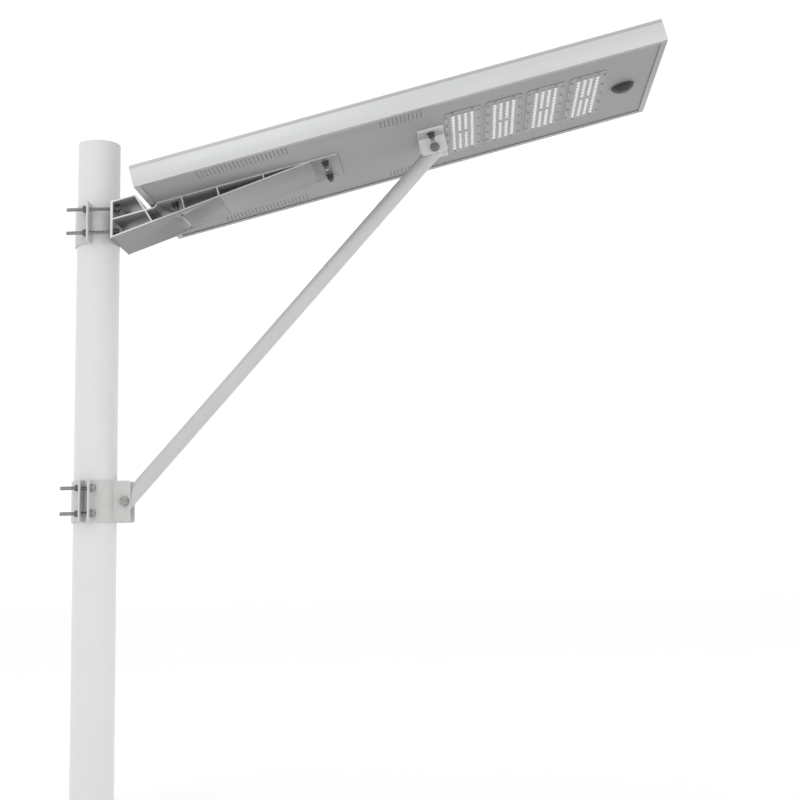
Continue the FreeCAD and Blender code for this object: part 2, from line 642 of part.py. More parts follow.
def make_arm_bracket():
    end_top, end_bottom, nose, slope = arm_points()
    upper_z = PLATE_BOTTOM - ARM_WALL / 2

    def on_bottom(x):
        return x, end_bottom[1] + slope * (x - end_bottom[0])

    share = (ARM_MIDDLE_Z - end_bottom[1]) / (end_top[1] - end_bottom[1])
    middle_start = (end_bottom[0] + share * (end_top[0] - end_bottom[0]), ARM_MIDDLE_Z)
    top_corner = (end_top[0] + ARM_TOP_LENGTH, end_top[1])
    walls = [
        (top_corner, (ARM_DIAGONAL_MIDDLE, ARM_MIDDLE_Z), ARM_WALL),
        ((ARM_DIAGONAL_MIDDLE, ARM_MIDDLE_Z), on_bottom(ARM_DIAGONAL_FOOT), ARM_WALL),
        (end_top, top_corner, ARM_WALL),
        (middle_start, (ARM_RISER_START, ARM_MIDDLE_Z), ARM_WALL),
        ((ARM_RISER_START, ARM_MIDDLE_Z), (ARM_RISER_END, upper_z), ARM_WALL),
        ((ARM_RISER_END, upper_z), (ARM_FLANGE_START, upper_z), ARM_WALL),
        (end_bottom, nose, ARM_WALL),
        (end_bottom, end_top, ARM_END_WALL),
    ]
    walls += [((x, upper_z), on_bottom(x), ARM_WALL) for x in ARM_WEBS]
    pieces = [strip(start, end, thickness, ARM_WIDTH) for start, end, thickness in walls]
    half = ARM_WIDTH / 2
    pieces.append(box(ARM_FLANGE_START, ARM_FLANGE_END, -half, half, PLATE_BOTTOM - ARM_FLANGE, PLATE_BOTTOM))
    bracket = joined(pieces)

    tools = []
    for side in (-1, 1):
        y = side * HEAD_BOLT_Y
        inner_x, flange_x = ARM_BOLT_X
        tools.append(drill(inner_x, y, PLATE_BOTTOM - ARM_WALL, PLATE_BOTTOM, BOLT_HOLE_RADIUS))
        tools.append(drill(flange_x, y, PLATE_BOTTOM - ARM_FLANGE, PLATE_BOTTOM, BOLT_HOLE_RADIUS))
        access = Vec(inner_x, y, on_bottom(inner_x)[1])
        square_to_wall = Vec(-slope, 0, 1).normalize().multiply(2 * ARM_WALL)
        tools.append(rod(access.sub(square_to_wall), access.add(square_to_wall), ACCESS_HOLE / 2))
        for rise in (-UPPER_BOLT_SPACING / 2, UPPER_BOLT_SPACING / 2):
            x0, z0 = head_point(ARM_FACE_X - OVERSHOOT, UPPER_BOLT_Z + rise)
            x1, z1 = head_point(ARM_FACE_X + ARM_END_WALL + OVERSHOOT, UPPER_BOLT_Z + rise)
            end_y = side * CLAMP_BOLT_Y
            tools.append(rod(Vec(x0, end_y, z0), Vec(x1, end_y, z1), BOLT_HOLE_RADIUS))
    groove_x, groove_z = on_bottom(ARM_WEBS[1])
    groove_floor = groove_z - ARM_WALL / 2 + GROOVE_DEPTH
    past = half + OVERSHOOT
    tools.append(box(groove_x - GROOVE_WIDTH / 2, groove_x + GROOVE_WIDTH / 2, -past, past,
                     groove_floor - ARM_WALL, groove_floor))
    return without(bracket, tools)


def make_arm_backing():
    half = ARM_BACKING_WIDTH / 2
    plate = box(ARM_BOLT_X[0] - ARM_BACKING_MARGIN, ARM_BOLT_X[1] + ARM_BACKING_MARGIN, -half, half,
                PLATE_TOP, BACKING_TOP)
    holes = []
    for x in ARM_BOLT_X:
        for side in (-1, 1):
            holes.append(drill(x, side * HEAD_BOLT_Y, PLATE_TOP, BACKING_TOP, BOLT_HOLE_RADIUS))
    return without(plate, holes)


def make_head_bolts():
    bolt = hex_bolt(BOLT_RADIUS, NUT_FLATS, BOLT_HEAD_HEIGHT, HEAD_BOLT_LENGTH)
    return Part.makeCompound([aimed(bolt, Vec(x, y, BACKING_TOP), Z_AXIS) for x, y in head_bolt_places()])


def make_head_nuts():
    """Nuts under the arm and under the strut lug."""
    nuts = []
    for x, y in head_bolt_places():
        wall = ARM_WALL if x == ARM_BOLT_X[0] else ARM_FLANGE
        if x == LUG_X:
            wall = LUG_BASE
        nuts.append(aimed(m8_nut_stack(), Vec(x, y, PLATE_BOTTOM - wall), Z_AXIS.negative()))
    return Part.makeCompound(nuts)


# ---- Clamps --------------------------------------------------------------------------------------
def clamp_half(height, flange_x, facing):
    """Half a clamp round the pole, facing +1 (front) or -1 (rear), centred on z = 0.

    flange_x is the face of its two flanges that looks towards the other half.
    """
    bottom = Vec(0, 0, -height / 2)
    top = Vec(0, 0, height / 2)
    reach = 2 * HOOP_OUTER
    hoop = ring(bottom, top, HOOP_OUTER, HOOP_INNER)
    far_x = flange_x + facing * reach
    hoop = hoop.common(box(min(flange_x, far_x), max(flange_x, far_x), -reach, reach, bottom.z, top.z))
    back_x = flange_x + facing * CLAMP_WALL
    flange_edge = math.sqrt(HOOP_INNER ** 2 - flange_x ** 2) + CLAMP_WALL / 2
    flanges = []
    for side in (-1, 1):
        y0 = min(side * flange_edge, side * CLAMP_WIDTH / 2)
        y1 = max(side * flange_edge, side * CLAMP_WIDTH / 2)
        flanges.append(box(min(flange_x, back_x), max(flange_x, back_x), y0, y1, -height / 2, height / 2))
    half = joined([hoop] + flanges)
    bends = []
    for edge in half.Edges:
        upright = abs(edge.tangentAt(edge.FirstParameter).z) > 0.99
        middle = edge.CenterOfMass
        on_hoop = abs(math.hypot(middle.x, middle.y) - HOOP_OUTER) < 0.01
        if upright and on_hoop and abs(middle.x - back_x) < 0.01:
            bends.append(edge)
    return half.makeFillet(CLAMP_EDGE_FILLET, bends)


def clamp_bolt_places(spacing):
    """(y, z) of a clamp's four bolts, from its middle."""
    return [(side * CLAMP_BOLT_Y, rise * spacing / 2) for side in (-1, 1) for rise in (-1, 1)]


def drilled(half, flange_x, facing, places):
    holes = []
    for y, z in places:
        start = Vec(flange_x - facing * OVERSHOOT, y, z)
        end = Vec(flange_x + facing * (CLAMP_WALL + OVERSHOOT), y, z)
        holes.append(rod(start, end, BOLT_HOLE_RADIUS))
    return without(half, holes)


def make_upper_rear_clamp():
    half = clamp_half(UPPER_CLAMP_HEIGHT, UPPER_FLANGE_X, -1)
    offset = UPPER_BOLT_Z - UPPER_CLAMP_Z
    places = [(y, z + offset) for y, z in clamp_bolt_places(UPPER_BOLT_SPACING)]
    half = drilled(half, UPPER_FLANGE_X, -1, places)
    half.translate(Vec(0, 0, HEAD_HEIGHT + UPPER_CLAMP_Z))
    return half


def rear_nuts(flange_x, places, middle_z):
    seat = flange_x - CLAMP_WALL
    nuts = [aimed(m8_nut_stack(), Vec(seat, y, middle_z + z), X_AXIS.negative()) for y, z in places]
    return Part.makeCompound(nuts)


def make_upper_rear_nuts():
    return rear_nuts(UPPER_FLANGE_X, clamp_bolt_places(UPPER_BOLT_SPACING), HEAD_HEIGHT + UPPER_BOLT_Z)


def make_upper_clamp_studs():
    start_x = UPPER_FLANGE_X - CLAMP_WALL - NUT_STACK - CLAMP_THREAD_PAST
    end_x = ARM_FACE_X + ARM_END_WALL + NUT_STACK + THREAD_END
    studs = []
    for y, rise in clamp_bolt_places(UPPER_BOLT_SPACING):
        z = HEAD_HEIGHT + UPPER_BOLT_Z + rise
        studs.append(stud(Vec(start_x, y, z), Vec(end_x, y, z), BOLT_RADIUS))
    return Part.makeCompound(studs)


def make_upper_front_nuts():
    """Nuts inside the arm, against its end plate."""
    seat = ARM_FACE_X + ARM_END_WALL
    nuts = []
    for y, rise in clamp_bolt_places(UPPER_BOLT_SPACING):
        nuts.append(aimed(m8_nut_stack(), Vec(seat, y, HEAD_HEIGHT + UPPER_BOLT_Z + rise), X_AXIS))
    return Part.makeCompound(nuts)


def lower_clamp_height():
    return HEAD_HEIGHT - LOWER_CLAMP_DROP


def lower_pivot():
    return Vec(LOWER_PIVOT_X, 0, lower_clamp_height())


def upper_pivot():
    return world_point(LUG_X + LUG_PIVOT_OFFSET, -LUG_PIVOT_DROP)


def make_lower_front_clamp():
    """Front half with two ears that hold the strut's foot."""
    half = clamp_half(LOWER_CLAMP_HEIGHT, LOWER_FRONT_FLANGE_X, 1)
    half = drilled(half, LOWER_FRONT_FLANGE_X, 1, clamp_bolt_places(LOWER_BOLT_SPACING))
    tip_x = LOWER_PIVOT_X + EAR_PAST_PIVOT
    root_x = math.sqrt(HOOP_OUTER ** 2 - (EAR_GAP / 2 + EAR_WALL) ** 2) - CLAMP_WALL / 2
    pieces = [half]
    for side in (-1, 1):
        y0 = min(side * EAR_GAP / 2, side * (EAR_GAP / 2 + EAR_WALL))
        half_height = LOWER_CLAMP_HEIGHT / 2
        ear = box(root_x, tip_x, y0, y0 + EAR_WALL, -half_height, half_height)
        corners = []
        for edge in ear.Edges:
            sideways = abs(edge.tangentAt(edge.FirstParameter).y) > 0.99
            if sideways and edge.CenterOfMass.x > tip_x - 0.01:
                corners.append(edge)
        pieces.append(ear.makeFillet(EAR_CORNER, corners))
    clamp = joined(pieces)
    clamp.translate(Vec(0, 0, lower_clamp_height()))
    return clamp.cut(pivot_hole(lower_pivot(), PIVOT_RADIUS + PIVOT_CLEARANCE))


def make_lower_rear_clamp():
    half = clamp_half(LOWER_CLAMP_HEIGHT, LOWER_REAR_FLANGE_X, -1)
    half = drilled(half, LOWER_REAR_FLANGE_X, -1, clamp_bolt_places(LOWER_BOLT_SPACING))
    half.translate(Vec(0, 0, lower_clamp_height()))
    return half


def make_lower_rear_nuts():
    return rear_nuts(LOWER_REAR_FLANGE_X, clamp_bolt_places(LOWER_BOLT_SPACING), lower_clamp_height())


def make_lower_clamp_bolts():
    """Bolts through both halves, with a washer and a spring washer under each head."""
    seat = LOWER_FRONT_FLANGE_X + CLAMP_WALL
    stack = WASHER_THICKNESS + SPRING_WASHER_THICKNESS
    tip_x = LOWER_REAR_FLANGE_X - CLAMP_WALL - NUT_STACK - LOWER_THREAD_PAST
    bolt = hex_bolt(BOLT_RADIUS, NUT_FLATS, BOLT_HEAD_HEIGHT, seat + stack - tip_x)
    inner = BOLT_RADIUS + THREAD_CLEARANCE
    flat = ring(Vec(0, 0, 0), Vec(0, 0, WASHER_THICKNESS), WASHER_DIAMETER / 2, inner)
    spring = ring(Vec(0, 0, WASHER_THICKNESS), Vec(0, 0, stack), SPRING_WASHER_DIAMETER / 2, inner)
    pieces = []
    for y, rise in clamp_bolt_places(LOWER_BOLT_SPACING):
        z = lower_clamp_height() + rise
        pieces.append(aimed(bolt, Vec(seat + stack, y, z), X_AXIS))
        pieces += [aimed(one, Vec(seat, y, z), X_AXIS) for one in (flat, spring)]
    return Part.makeCompound(pieces)


# ---- Strut ---------------------------------------------------------------------------------------
def pivot_hole(centre, radius):
    """A tool that drills straight across the lamp through a pivot."""
    reach = Vec(0, LUG_WIDTH, 0)
    return rod(centre.sub(reach), centre.add(reach), radius)


def strut_ends():
    """The strut's two ends and the unit vector from its foot to its head."""
    along = upper_pivot().sub(lower_pivot()).normalize()
    past = Vec(along).multiply(STRUT_OVERHANG)
    return lower_pivot().sub(past), upper_pivot().add(past), along


def make_strut_tube():
    foot, head, _ = strut_ends()
    tube = ring(foot, head, STRUT_DIAMETER / 2, STRUT_DIAMETER / 2 - STRUT_WALL)
    holes = [pivot_hole(pivot, PIVOT_RADIUS + PIVOT_CLEARANCE) for pivot in (lower_pivot(), upper_pivot())]
    return without(tube, holes)


def make_strut_plugs():
    """Plastic plugs, each a cup pushed into an end of the tube and drilled for the pivot bolt."""
    foot, head, along = strut_ends()
    bore = STRUT_DIAMETER / 2 - STRUT_WALL
    plugs = []
    for end, inward in ((foot, along), (head, along.negative())):
        face = Vec(inward).multiply(PLUG_WALL)
        depth = Vec(inward).multiply(PLUG_DEPTH)
        cup = rod(end, end.add(depth), bore)
        cup = cup.cut(rod(end.add(face), end.add(depth).add(face), bore - PLUG_WALL))
        plugs.append(cup)
    drills = [pivot_hole(pivot, PIVOT_RADIUS + PIVOT_CLEARANCE) for pivot in (lower_pivot(), upper_pivot())]
    return Part.makeCompound(plugs).cut(Part.makeCompound(drills))


def pivot_seat(side):
    """y of the ears' outer faces."""
    return side * (EAR_GAP / 2 + EAR_WALL)


def make_pivot_bolts():
    grip = 2 * abs(pivot_seat(1)) + 2 * PIVOT_WASHER_THICKNESS
    length = grip + PIVOT_NUT_HEIGHT + THREAD_END
    bolt = hex_bolt(PIVOT_RADIUS, PIVOT_FLATS, PIVOT_HEAD_HEIGHT, length)
    washer = ring(Vec(0, 0, 0), Vec(0, 0, PIVOT_WASHER_THICKNESS), PIVOT_WASHER_DIAMETER / 2,
                  PIVOT_RADIUS + THREAD_CLEARANCE)
    pieces = []
    for pivot in (lower_pivot(), upper_pivot()):
        seat = pivot.add(Vec(0, pivot_seat(-1), 0))
        pieces.append(aimed(washer, seat, Y_AXIS.negative()))
        pieces.append(aimed(bolt, seat.sub(Vec(0, PIVOT_WASHER_THICKNESS, 0)), Y_AXIS.negative()))
    return Part.makeCompound(pieces)


def make_pivot_nuts():
    stack = nut_stack(PIVOT_RADIUS, PIVOT_FLATS, PIVOT_NUT_HEIGHT, PIVOT_WASHER_DIAMETER,
                      PIVOT_WASHER_THICKNESS, 0, 0)
    nuts = []
    for pivot in (lower_pivot(), upper_pivot()):
        nuts.append(aimed(stack, pivot.add(Vec(0, pivot_seat(1), 0)), Y_AXIS))
    return Part.makeCompound(nuts)


def make_pivot_spacers():
    """Nylon washers between the strut's sides and the ears."""
    spacers = []
    for pivot in (lower_pivot(), upper_pivot()):
        for side in (-1, 1):
            inner = pivot.add(Vec(0, side * STRUT_DIAMETER / 2, 0))
            outer = pivot.add(Vec(0, side * EAR_GAP / 2, 0))
            spacers.append(ring(inner, outer, SPACER_DIAMETER / 2, PIVOT_RADIUS + PIVOT_CLEARANCE))
    return Part.makeCompound(spacers)


def make_strut_lug():
    """Base plate with two ears, cut from one extrusion; drawn in the head frame."""
    x0 = LUG_X - LUG_LENGTH / 2
    x1 = LUG_X + LUG_LENGTH / 2
    pieces = [box(x0, x1, -LUG_WIDTH / 2, LUG_WIDTH / 2, PLATE_BOTTOM - LUG_BASE, PLATE_BOTTOM)]
    ear_bottom = -LUG_PIVOT_DROP - EAR_PAST_PIVOT
    for side in (-1, 1):
        y0 = min(side * EAR_GAP / 2, side * (EAR_GAP / 2 + EAR_WALL))
        ear = box(x0, x1, y0, y0 + EAR_WALL, ear_bottom, PLATE_BOTTOM - LUG_BASE / 2)
        corners = []
        for edge in ear.Edges:
            sideways = abs(edge.tangentAt(edge.FirstParameter).y) > 0.99
            if sideways and edge.CenterOfMass.z < ear_bottom + 0.01:
                corners.append(edge)
        pieces.append(ear.makeFillet(EAR_CORNER, corners))
    lug = joined(pieces)
    tools = [rod(Vec(LUG_X, side * HEAD_BOLT_Y, ear_bottom), Vec(LUG_X, side * HEAD_BOLT_Y, PLATE_TOP),
                 BOLT_HOLE_RADIUS) for side in (-1, 1)]
    pivot = Vec(LUG_X + LUG_PIVOT_OFFSET, 0, -LUG_PIVOT_DROP)
    tools.append(pivot_hole(pivot, PIVOT_RADIUS + PIVOT_CLEARANCE))
    return without(lug, tools)


def make_lug_backing():
    half_x = LUG_BACKING_LENGTH / 2
    plate = box(LUG_X - half_x, LUG_X + half_x, -LUG_WIDTH / 2, LUG_WIDTH / 2, PLATE_TOP, BACKING_TOP)
    holes = [drill(LUG_X, side * HEAD_BOLT_Y, PLATE_TOP, BACKING_TOP, BOLT_HOLE_RADIUS) for side in (-1, 1)]
    return without(plate, holes)


# ---- LED modules ---------------------------------------------------------------------------------
def lens_places():
    """Lens centres from a module's middle; the two inner rows leave out the lens at the centre."""
    places = []
    for row in range(LENS_ROWS):
        x = (row - (LENS_ROWS - 1) / 2) * LENS_ROW_PITCH
        inner_row = 0 < row < LENS_ROWS - 1
        for column in range(LENS_COLUMNS):
            step = column - (LENS_COLUMNS - 1) / 2
            if not (inner_row and step == 0):
                places.append((x, step * LENS_COLUMN_PITCH))
    return places


def chamfered_slab(length, width, crop, z0, z1):
    """A slab centred on the origin with its four corners cropped."""
    x = length / 2
    y = width / 2
    points = [(-x, crop - y), (crop - x, -y), (x - crop, -y), (x, crop - y),
              (x, y - crop), (x - crop, y), (crop - x, y), (-x, y - crop)]
    return prism([(px, py, z0) for px, py in points], Vec(0, 0, z1 - z0))


def make_lens_cover(x):
    """Clear cover: a flange under the back plate, a shallow pocket over the board, and the lenses."""
    cover = chamfered_slab(MODULE_LENGTH, MODULE_WIDTH, MODULE_CHAMFER, LENS_FACE, PLATE_BOTTOM)
    radius = (LENS_DIAMETER ** 2 / 4 + LENS_HEIGHT ** 2) / (2 * LENS_HEIGHT)
    latitude = math.degrees(math.asin((radius - LENS_HEIGHT) / radius))
    down = Z_AXIS.negative()
    domes = []
    for lens_x, lens_y in lens_places():
        centre = Vec(lens_x, lens_y, LENS_FACE + radius - LENS_HEIGHT)
        domes.append(Part.makeSphere(radius, centre, down, latitude, 90, 360))
    cover = cover.fuse(domes)
    half_x = LENS_FIELD_LENGTH / 2
    half_y = LENS_FIELD_WIDTH / 2
    tools = [box(-half_x, half_x, -half_y, half_y, LENS_FACE + MODULE_COVER_WALL, PLATE_BOTTOM + OVERSHOOT)]
    for screw_x, screw_y in module_screw_places():
        tools.append(drill(screw_x, screw_y, LENS_FACE, PLATE_BOTTOM, SCREW_HOLE_RADIUS))
    cover = without(cover, tools)
    cover.translate(Vec(x, 0, 0))
    return cover


def make_led_board(x):
    half_x = MODULE_WINDOW_LENGTH / 2 - BOARD_CLEARANCE
    half_y = MODULE_WINDOW_WIDTH / 2 - BOARD_CLEARANCE
    return box(x - half_x, x + half_x, -half_y, half_y, PLATE_TOP - BOARD_THICKNESS, PLATE_TOP)


def make_led_chips():
    top = PLATE_TOP - BOARD_THICKNESS
    half = CHIP_SIZE / 2
    chips = []
    for middle in module_places():
        for dx, y in lens_places():
            x = middle + dx
            chips.append(box(x - half, x + half, y - half, y + half, top - CHIP_HEIGHT, top))
    return Part.makeCompound(chips)


def make_heat_sinks():
    """Finned plates inside the head, one behind each module."""
    sinks = []
    for x in module_places():
        half_x = MODULE_LENGTH / 2
        half_y = MODULE_WIDTH / 2
        base_top = PLATE_TOP + SINK_BASE
        pieces = [box(x - half_x, x + half_x, -half_y, half_y, PLATE_TOP, base_top)]
        for fin in range(SINK_FINS):
            fin_x = x + (fin - (SINK_FINS - 1) / 2) * SINK_FIN_PITCH - SINK_FIN_THICKNESS / 2
            pieces.append(box(fin_x, fin_x + SINK_FIN_THICKNESS, -half_y, half_y, base_top,
                              base_top + SINK_FIN_HEIGHT))
        holes = [rod(Vec(x + dx, y, PLATE_TOP - OVERSHOOT), Vec(x + dx, y, PLATE_TOP + SCREW_GRIP),
                     SCREW_DIAMETER / 2)
                 for dx, y in module_screw_places()]
        sinks.append(without(joined(pieces), holes))
    return Part.makeCompound(sinks)


def make_led_screws():
    half = SCREW_HEAD_HEIGHT / 2
    head = Part.makeCylinder(SCREW_HEAD_DIAMETER / 2, SCREW_HEAD_HEIGHT, Vec(0, 0, -SCREW_HEAD_HEIGHT))
    head = head.makeFillet(half, [edge for edge in head.Edges if edge.CenterOfMass.z < -half])
    shank = rod(Vec(0, 0, -half), Vec(0, 0, PLATE_TOP + SCREW_GRIP - LENS_FACE), SCREW_DIAMETER / 2)
    screw = joined([head, shank])
    screws = []
    for middle in module_places():
        for dx, y in module_screw_places():
            one = screw.copy()
            one.translate(Vec(middle + dx, y, LENS_FACE))
            screws.append(one)
    return Part.makeCompound(screws)


# ---- Motion sensor -------------------------------------------------------------------------------
def sensor_disc(radius, z0, z1):
    return rod(Vec(SENSOR_X, 0, z0), Vec(SENSOR_X, 0, z1), radius)


def make_sensor_ring():
    radius = SENSOR_DIAMETER / 2
    return sensor_disc(SENSOR_RING_DIAMETER / 2, PLATE_BOTTOM - SENSOR_RING_THICKNESS, PLATE_BOTTOM).cut(
        sensor_disc(radius, PLATE_BOTTOM - SENSOR_RING_THICKNESS - OVERSHOOT, PLATE_BOTTOM + OVERSHOOT))


def make_sensor_lens():
    """Hollow dome held against the plate by the ring."""
    radius = SENSOR_DIAMETER / 2
    rim_z = PLATE_BOTTOM - SENSOR_RING_THICKNESS
    sphere = (radius ** 2 + SENSOR_DOME_HEIGHT ** 2) / (2 * SENSOR_DOME_HEIGHT)
    latitude = math.degrees(math.asin((sphere - SENSOR_DOME_HEIGHT) / sphere))
    centre = Vec(SENSOR_X, 0, rim_z + sphere - SENSOR_DOME_HEIGHT)
    dome = Part.makeSphere(sphere, centre, Z_AXIS.negative(), latitude, 90, 360)
    body = joined([dome, sensor_disc(radius, rim_z, PLATE_BOTTOM)])
    inside = Part.makeSphere(sphere - SENSOR_DOME_WALL, centre)
    neck = sensor_disc(radius - 2 * SENSOR_DOME_WALL, rim_z - SENSOR_DOME_HEIGHT, PLATE_BOTTOM + OVERSHOOT)
    return body.cut(inside.common(neck))


def make_sensor_housing():
    """Cup inside the head, with a rim on the back plate."""
    neck = SENSOR_DIAMETER / 2 - 2 * SENSOR_DOME_WALL
    top = PLATE_TOP + SENSOR_HOUSING_HEIGHT
    wall = SENSOR_HOUSING_WALL
    rim = sensor_disc(neck + SENSOR_RIM, PLATE_TOP, PLATE_TOP + wall)
    cup = joined([rim, sensor_disc(neck, PLATE_TOP, top)])
    return cup.cut(sensor_disc(neck - wall, PLATE_TOP - OVERSHOOT, top - wall))


def make_sensor_board():
    """Round board under the cup's top, with the sensing element on its lower side."""
    bore = SENSOR_DIAMETER / 2 - 2 * SENSOR_DOME_WALL - SENSOR_HOUSING_WALL
    top = PLATE_TOP + SENSOR_HOUSING_HEIGHT - SENSOR_HOUSING_WALL
    board = sensor_disc(bore - BOARD_CLEARANCE, top - BOARD_THICKNESS, top)
    low = top - BOARD_THICKNESS - SENSOR_ELEMENT_HEIGHT
    element = sensor_disc(SENSOR_ELEMENT_DIAMETER / 2, low, top - BOARD_THICKNESS)
    return joined([board, element])


# ---- Battery -------------------------------------------------------------------------------------
BATTERY_FLOOR = BACKING_TOP + BATTERY_WALL
BATTERY_ROW_PITCH = BATTERY_CELL_LENGTH + 2 * LINK_THICKNESS + BATTERY_GAP
BATTERY_COLUMN_PITCH = BATTERY_CELL_DIAMETER + BATTERY_GAP
BATTERY_INNER_WIDTH = BATTERY_COLUMNS * BATTERY_COLUMN_PITCH + BATTERY_GAP
BATTERY_CELLS_LENGTH = BATTERY_ROWS * BATTERY_ROW_PITCH + BATTERY_GAP
BATTERY_INNER_LENGTH = BATTERY_CELLS_LENGTH + BATTERY_BOARD_BAY
BATTERY_LID_BOTTOM = BATTERY_FLOOR + BATTERY_CELL_DIAMETER + BATTERY_LID_PLAY
BATTERY_START = BATTERY_X - BATTERY_INNER_LENGTH / 2
BATTERY_END = BATTERY_X + BATTERY_INNER_LENGTH / 2


def make_battery_tray():
    """Open box for the cells, with a pair of ribs that carry the protection board."""
    half = BATTERY_INNER_WIDTH / 2
    wall = BATTERY_WALL
    tray = box(BATTERY_START - wall, BATTERY_END + wall, -half - wall, half + wall, BACKING_TOP,
               BATTERY_LID_BOTTOM)
    tray = tray.cut(box(BATTERY_START, BATTERY_END, -half, half, BATTERY_FLOOR,
                        BATTERY_LID_BOTTOM + OVERSHOOT))
    middle = BATTERY_START + BATTERY_CELLS_LENGTH + BATTERY_BOARD_BAY / 2
    ribs = []
    for side in (-1, 1):
        x = middle + side * BATTERY_BOARD_WIDTH / 4
        ribs.append(box(x - wall, x + wall, -half, half, BATTERY_FLOOR - wall / 2,
                        BATTERY_FLOOR + BATTERY_BOARD_REST))
    return joined([tray] + ribs)


def make_battery_lid():
    half = BATTERY_INNER_WIDTH / 2 + BATTERY_WALL
    return box(BATTERY_START - BATTERY_WALL, BATTERY_END + BATTERY_WALL, -half, half, BATTERY_LID_BOTTOM,
               BATTERY_LID_BOTTOM + BATTERY_WALL)


def battery_rows():
    """Where each row of cells starts, along the head."""
    first = BATTERY_START + BATTERY_GAP + LINK_THICKNESS
    return [first + row * BATTERY_ROW_PITCH for row in range(BATTERY_ROWS)]


def make_battery_cells():
    radius = BATTERY_CELL_DIAMETER / 2
    z = BATTERY_FLOOR + radius
    cells = []
    for x in battery_rows():
        for column in range(BATTERY_COLUMNS):
            y = (column - (BATTERY_COLUMNS - 1) / 2) * BATTERY_COLUMN_PITCH
            cells.append(rod(Vec(x, y, z), Vec(x + BATTERY_CELL_LENGTH, y, z), radius))
    return Part.makeCompound(cells)


def make_cell_links():
    """Nickel strips welded across both ends of every row."""
    half = BATTERY_INNER_WIDTH / 2 - BATTERY_COLUMN_PITCH / 3
    z = BATTERY_FLOOR + (BATTERY_CELL_DIAMETER - LINK_HEIGHT) / 2
    links = []
    for x in battery_rows():
        for start in (x - LINK_THICKNESS, x + BATTERY_CELL_LENGTH):
            links.append(box(start, start + LINK_THICKNESS, -half, half, z, z + LINK_HEIGHT))
    return Part.makeCompound(links)


def component(size, x, y, board_top):
    """A block soldered on a board, reaching half way into it so that the two are one solid."""
    length, width, height = size
    return box(x - length / 2, x + length / 2, y - width / 2, y + width / 2, board_top - BOARD_THICKNESS / 2,
               board_top + height)


def make_battery_board():
    """Protection board with a row of power transistors."""
    half = BATTERY_INNER_WIDTH / 2 - 2 * BATTERY_GAP
    middle = BATTERY_START + BATTERY_CELLS_LENGTH + BATTERY_BOARD_BAY / 2
    edge = BATTERY_BOARD_WIDTH / 2
    bottom = BATTERY_FLOOR + BATTERY_BOARD_REST
    top = bottom + BOARD_THICKNESS
    pieces = [box(middle - edge, middle + edge, -half, half, bottom, top)]
    for column in range(BATTERY_COLUMNS):
        y = (column - (BATTERY_COLUMNS - 1) / 2) * BATTERY_COLUMN_PITCH
        pieces.append(component(TRANSISTOR, middle, y, top))
    return joined(pieces)


# ---- Charge controller and wiring ----------------------------------------------------------------
CONTROLLER_TOP = PLATE_TOP + CONTROLLER_HEIGHT
CONTROLLER_END = CONTROLLER_X + CONTROLLER_LENGTH


def controller_block(inset, z0, z1):
    half = CONTROLLER_WIDTH / 2 - inset
    return box(CONTROLLER_X + inset, CONTROLLER_END - inset, -half, half, z0, z1)


def make_controller_case():
    """Tray for the charge controller and LED driver, with four posts for its board."""
    wall = CONTROLLER_WALL
    tray = controller_block(0, PLATE_TOP, CONTROLLER_TOP - wall)
    tray = tray.cut(controller_block(wall, PLATE_TOP + wall, CONTROLLER_TOP))
    posts = []
    for x in (CONTROLLER_X + CONTROLLER_POST_INSET, CONTROLLER_END - CONTROLLER_POST_INSET):
        for side in (-1, 1):
            y = side * (CONTROLLER_WIDTH / 2 - CONTROLLER_POST_INSET)
            posts.append(rod(Vec(x, y, PLATE_TOP + wall / 2), Vec(x, y, PLATE_TOP + wall + CONTROLLER_POST),
                             CONTROLLER_POST_DIAMETER / 2))
    return joined([tray] + posts)


def make_controller_lid():
    return controller_block(0, CONTROLLER_TOP - CONTROLLER_WALL, CONTROLLER_TOP)


def make_controller_board():
    """Board with its inductors, capacitors and heat tab."""
    bottom = PLATE_TOP + CONTROLLER_WALL + CONTROLLER_POST
    top = bottom + BOARD_THICKNESS
    seat = top - BOARD_THICKNESS / 2
    pieces = [controller_block(CONTROLLER_WALL + BOARD_CLEARANCE, bottom, top)]
    middle = CONTROLLER_X + CONTROLLER_LENGTH / 2
    for y in INDUCTOR_Y:
        pieces.append(rod(Vec(middle, y, seat), Vec(middle, y, top + INDUCTOR_HEIGHT), INDUCTOR_DIAMETER / 2))
    for y in OUTPUT_Y:
        x = middle + CAPACITOR_X
        pieces.append(rod(Vec(x, y, seat), Vec(x, y, top + CAPACITOR_HEIGHT), CAPACITOR_DIAMETER / 2))
        pieces.append(component(DRIVER, middle + DRIVER_X, y, top))
    return joined(pieces)


def lead(points):
    """A round lead through points: straight runs joined by tangent arcs of one radius."""
    corners = [Vec(*point) for point in points]
    edges = []
    start = corners[0]
    for before, corner, after in zip(corners, corners[1:], corners[2:]):
        into = corner.sub(before).normalize()
        out = after.sub(corner).normalize()
        turn = into.getAngle(out)
        back = LEAD_BEND * math.tan(turn / 2)
        first = corner.sub(Vec(into).multiply(back))
        last = corner.add(Vec(out).multiply(back))
        inward = out.sub(into).normalize()
        centre_distance = LEAD_BEND / math.cos(turn / 2)
        middle = corner.add(inward.multiply(centre_distance - LEAD_BEND))
        edges.append(Part.makeLine(start, first))
        edges.append(Part.Arc(first, middle, last).toShape())
        start = last
    edges.append(Part.makeLine(start, corners[-1]))
    path = Part.Wire(edges)
    direction = corners[1].sub(corners[0])
    profile = Part.Wire(Part.makeCircle(LEAD_DIAMETER / 2, corners[0], direction))
    return path.makePipeShell([profile], True, False)


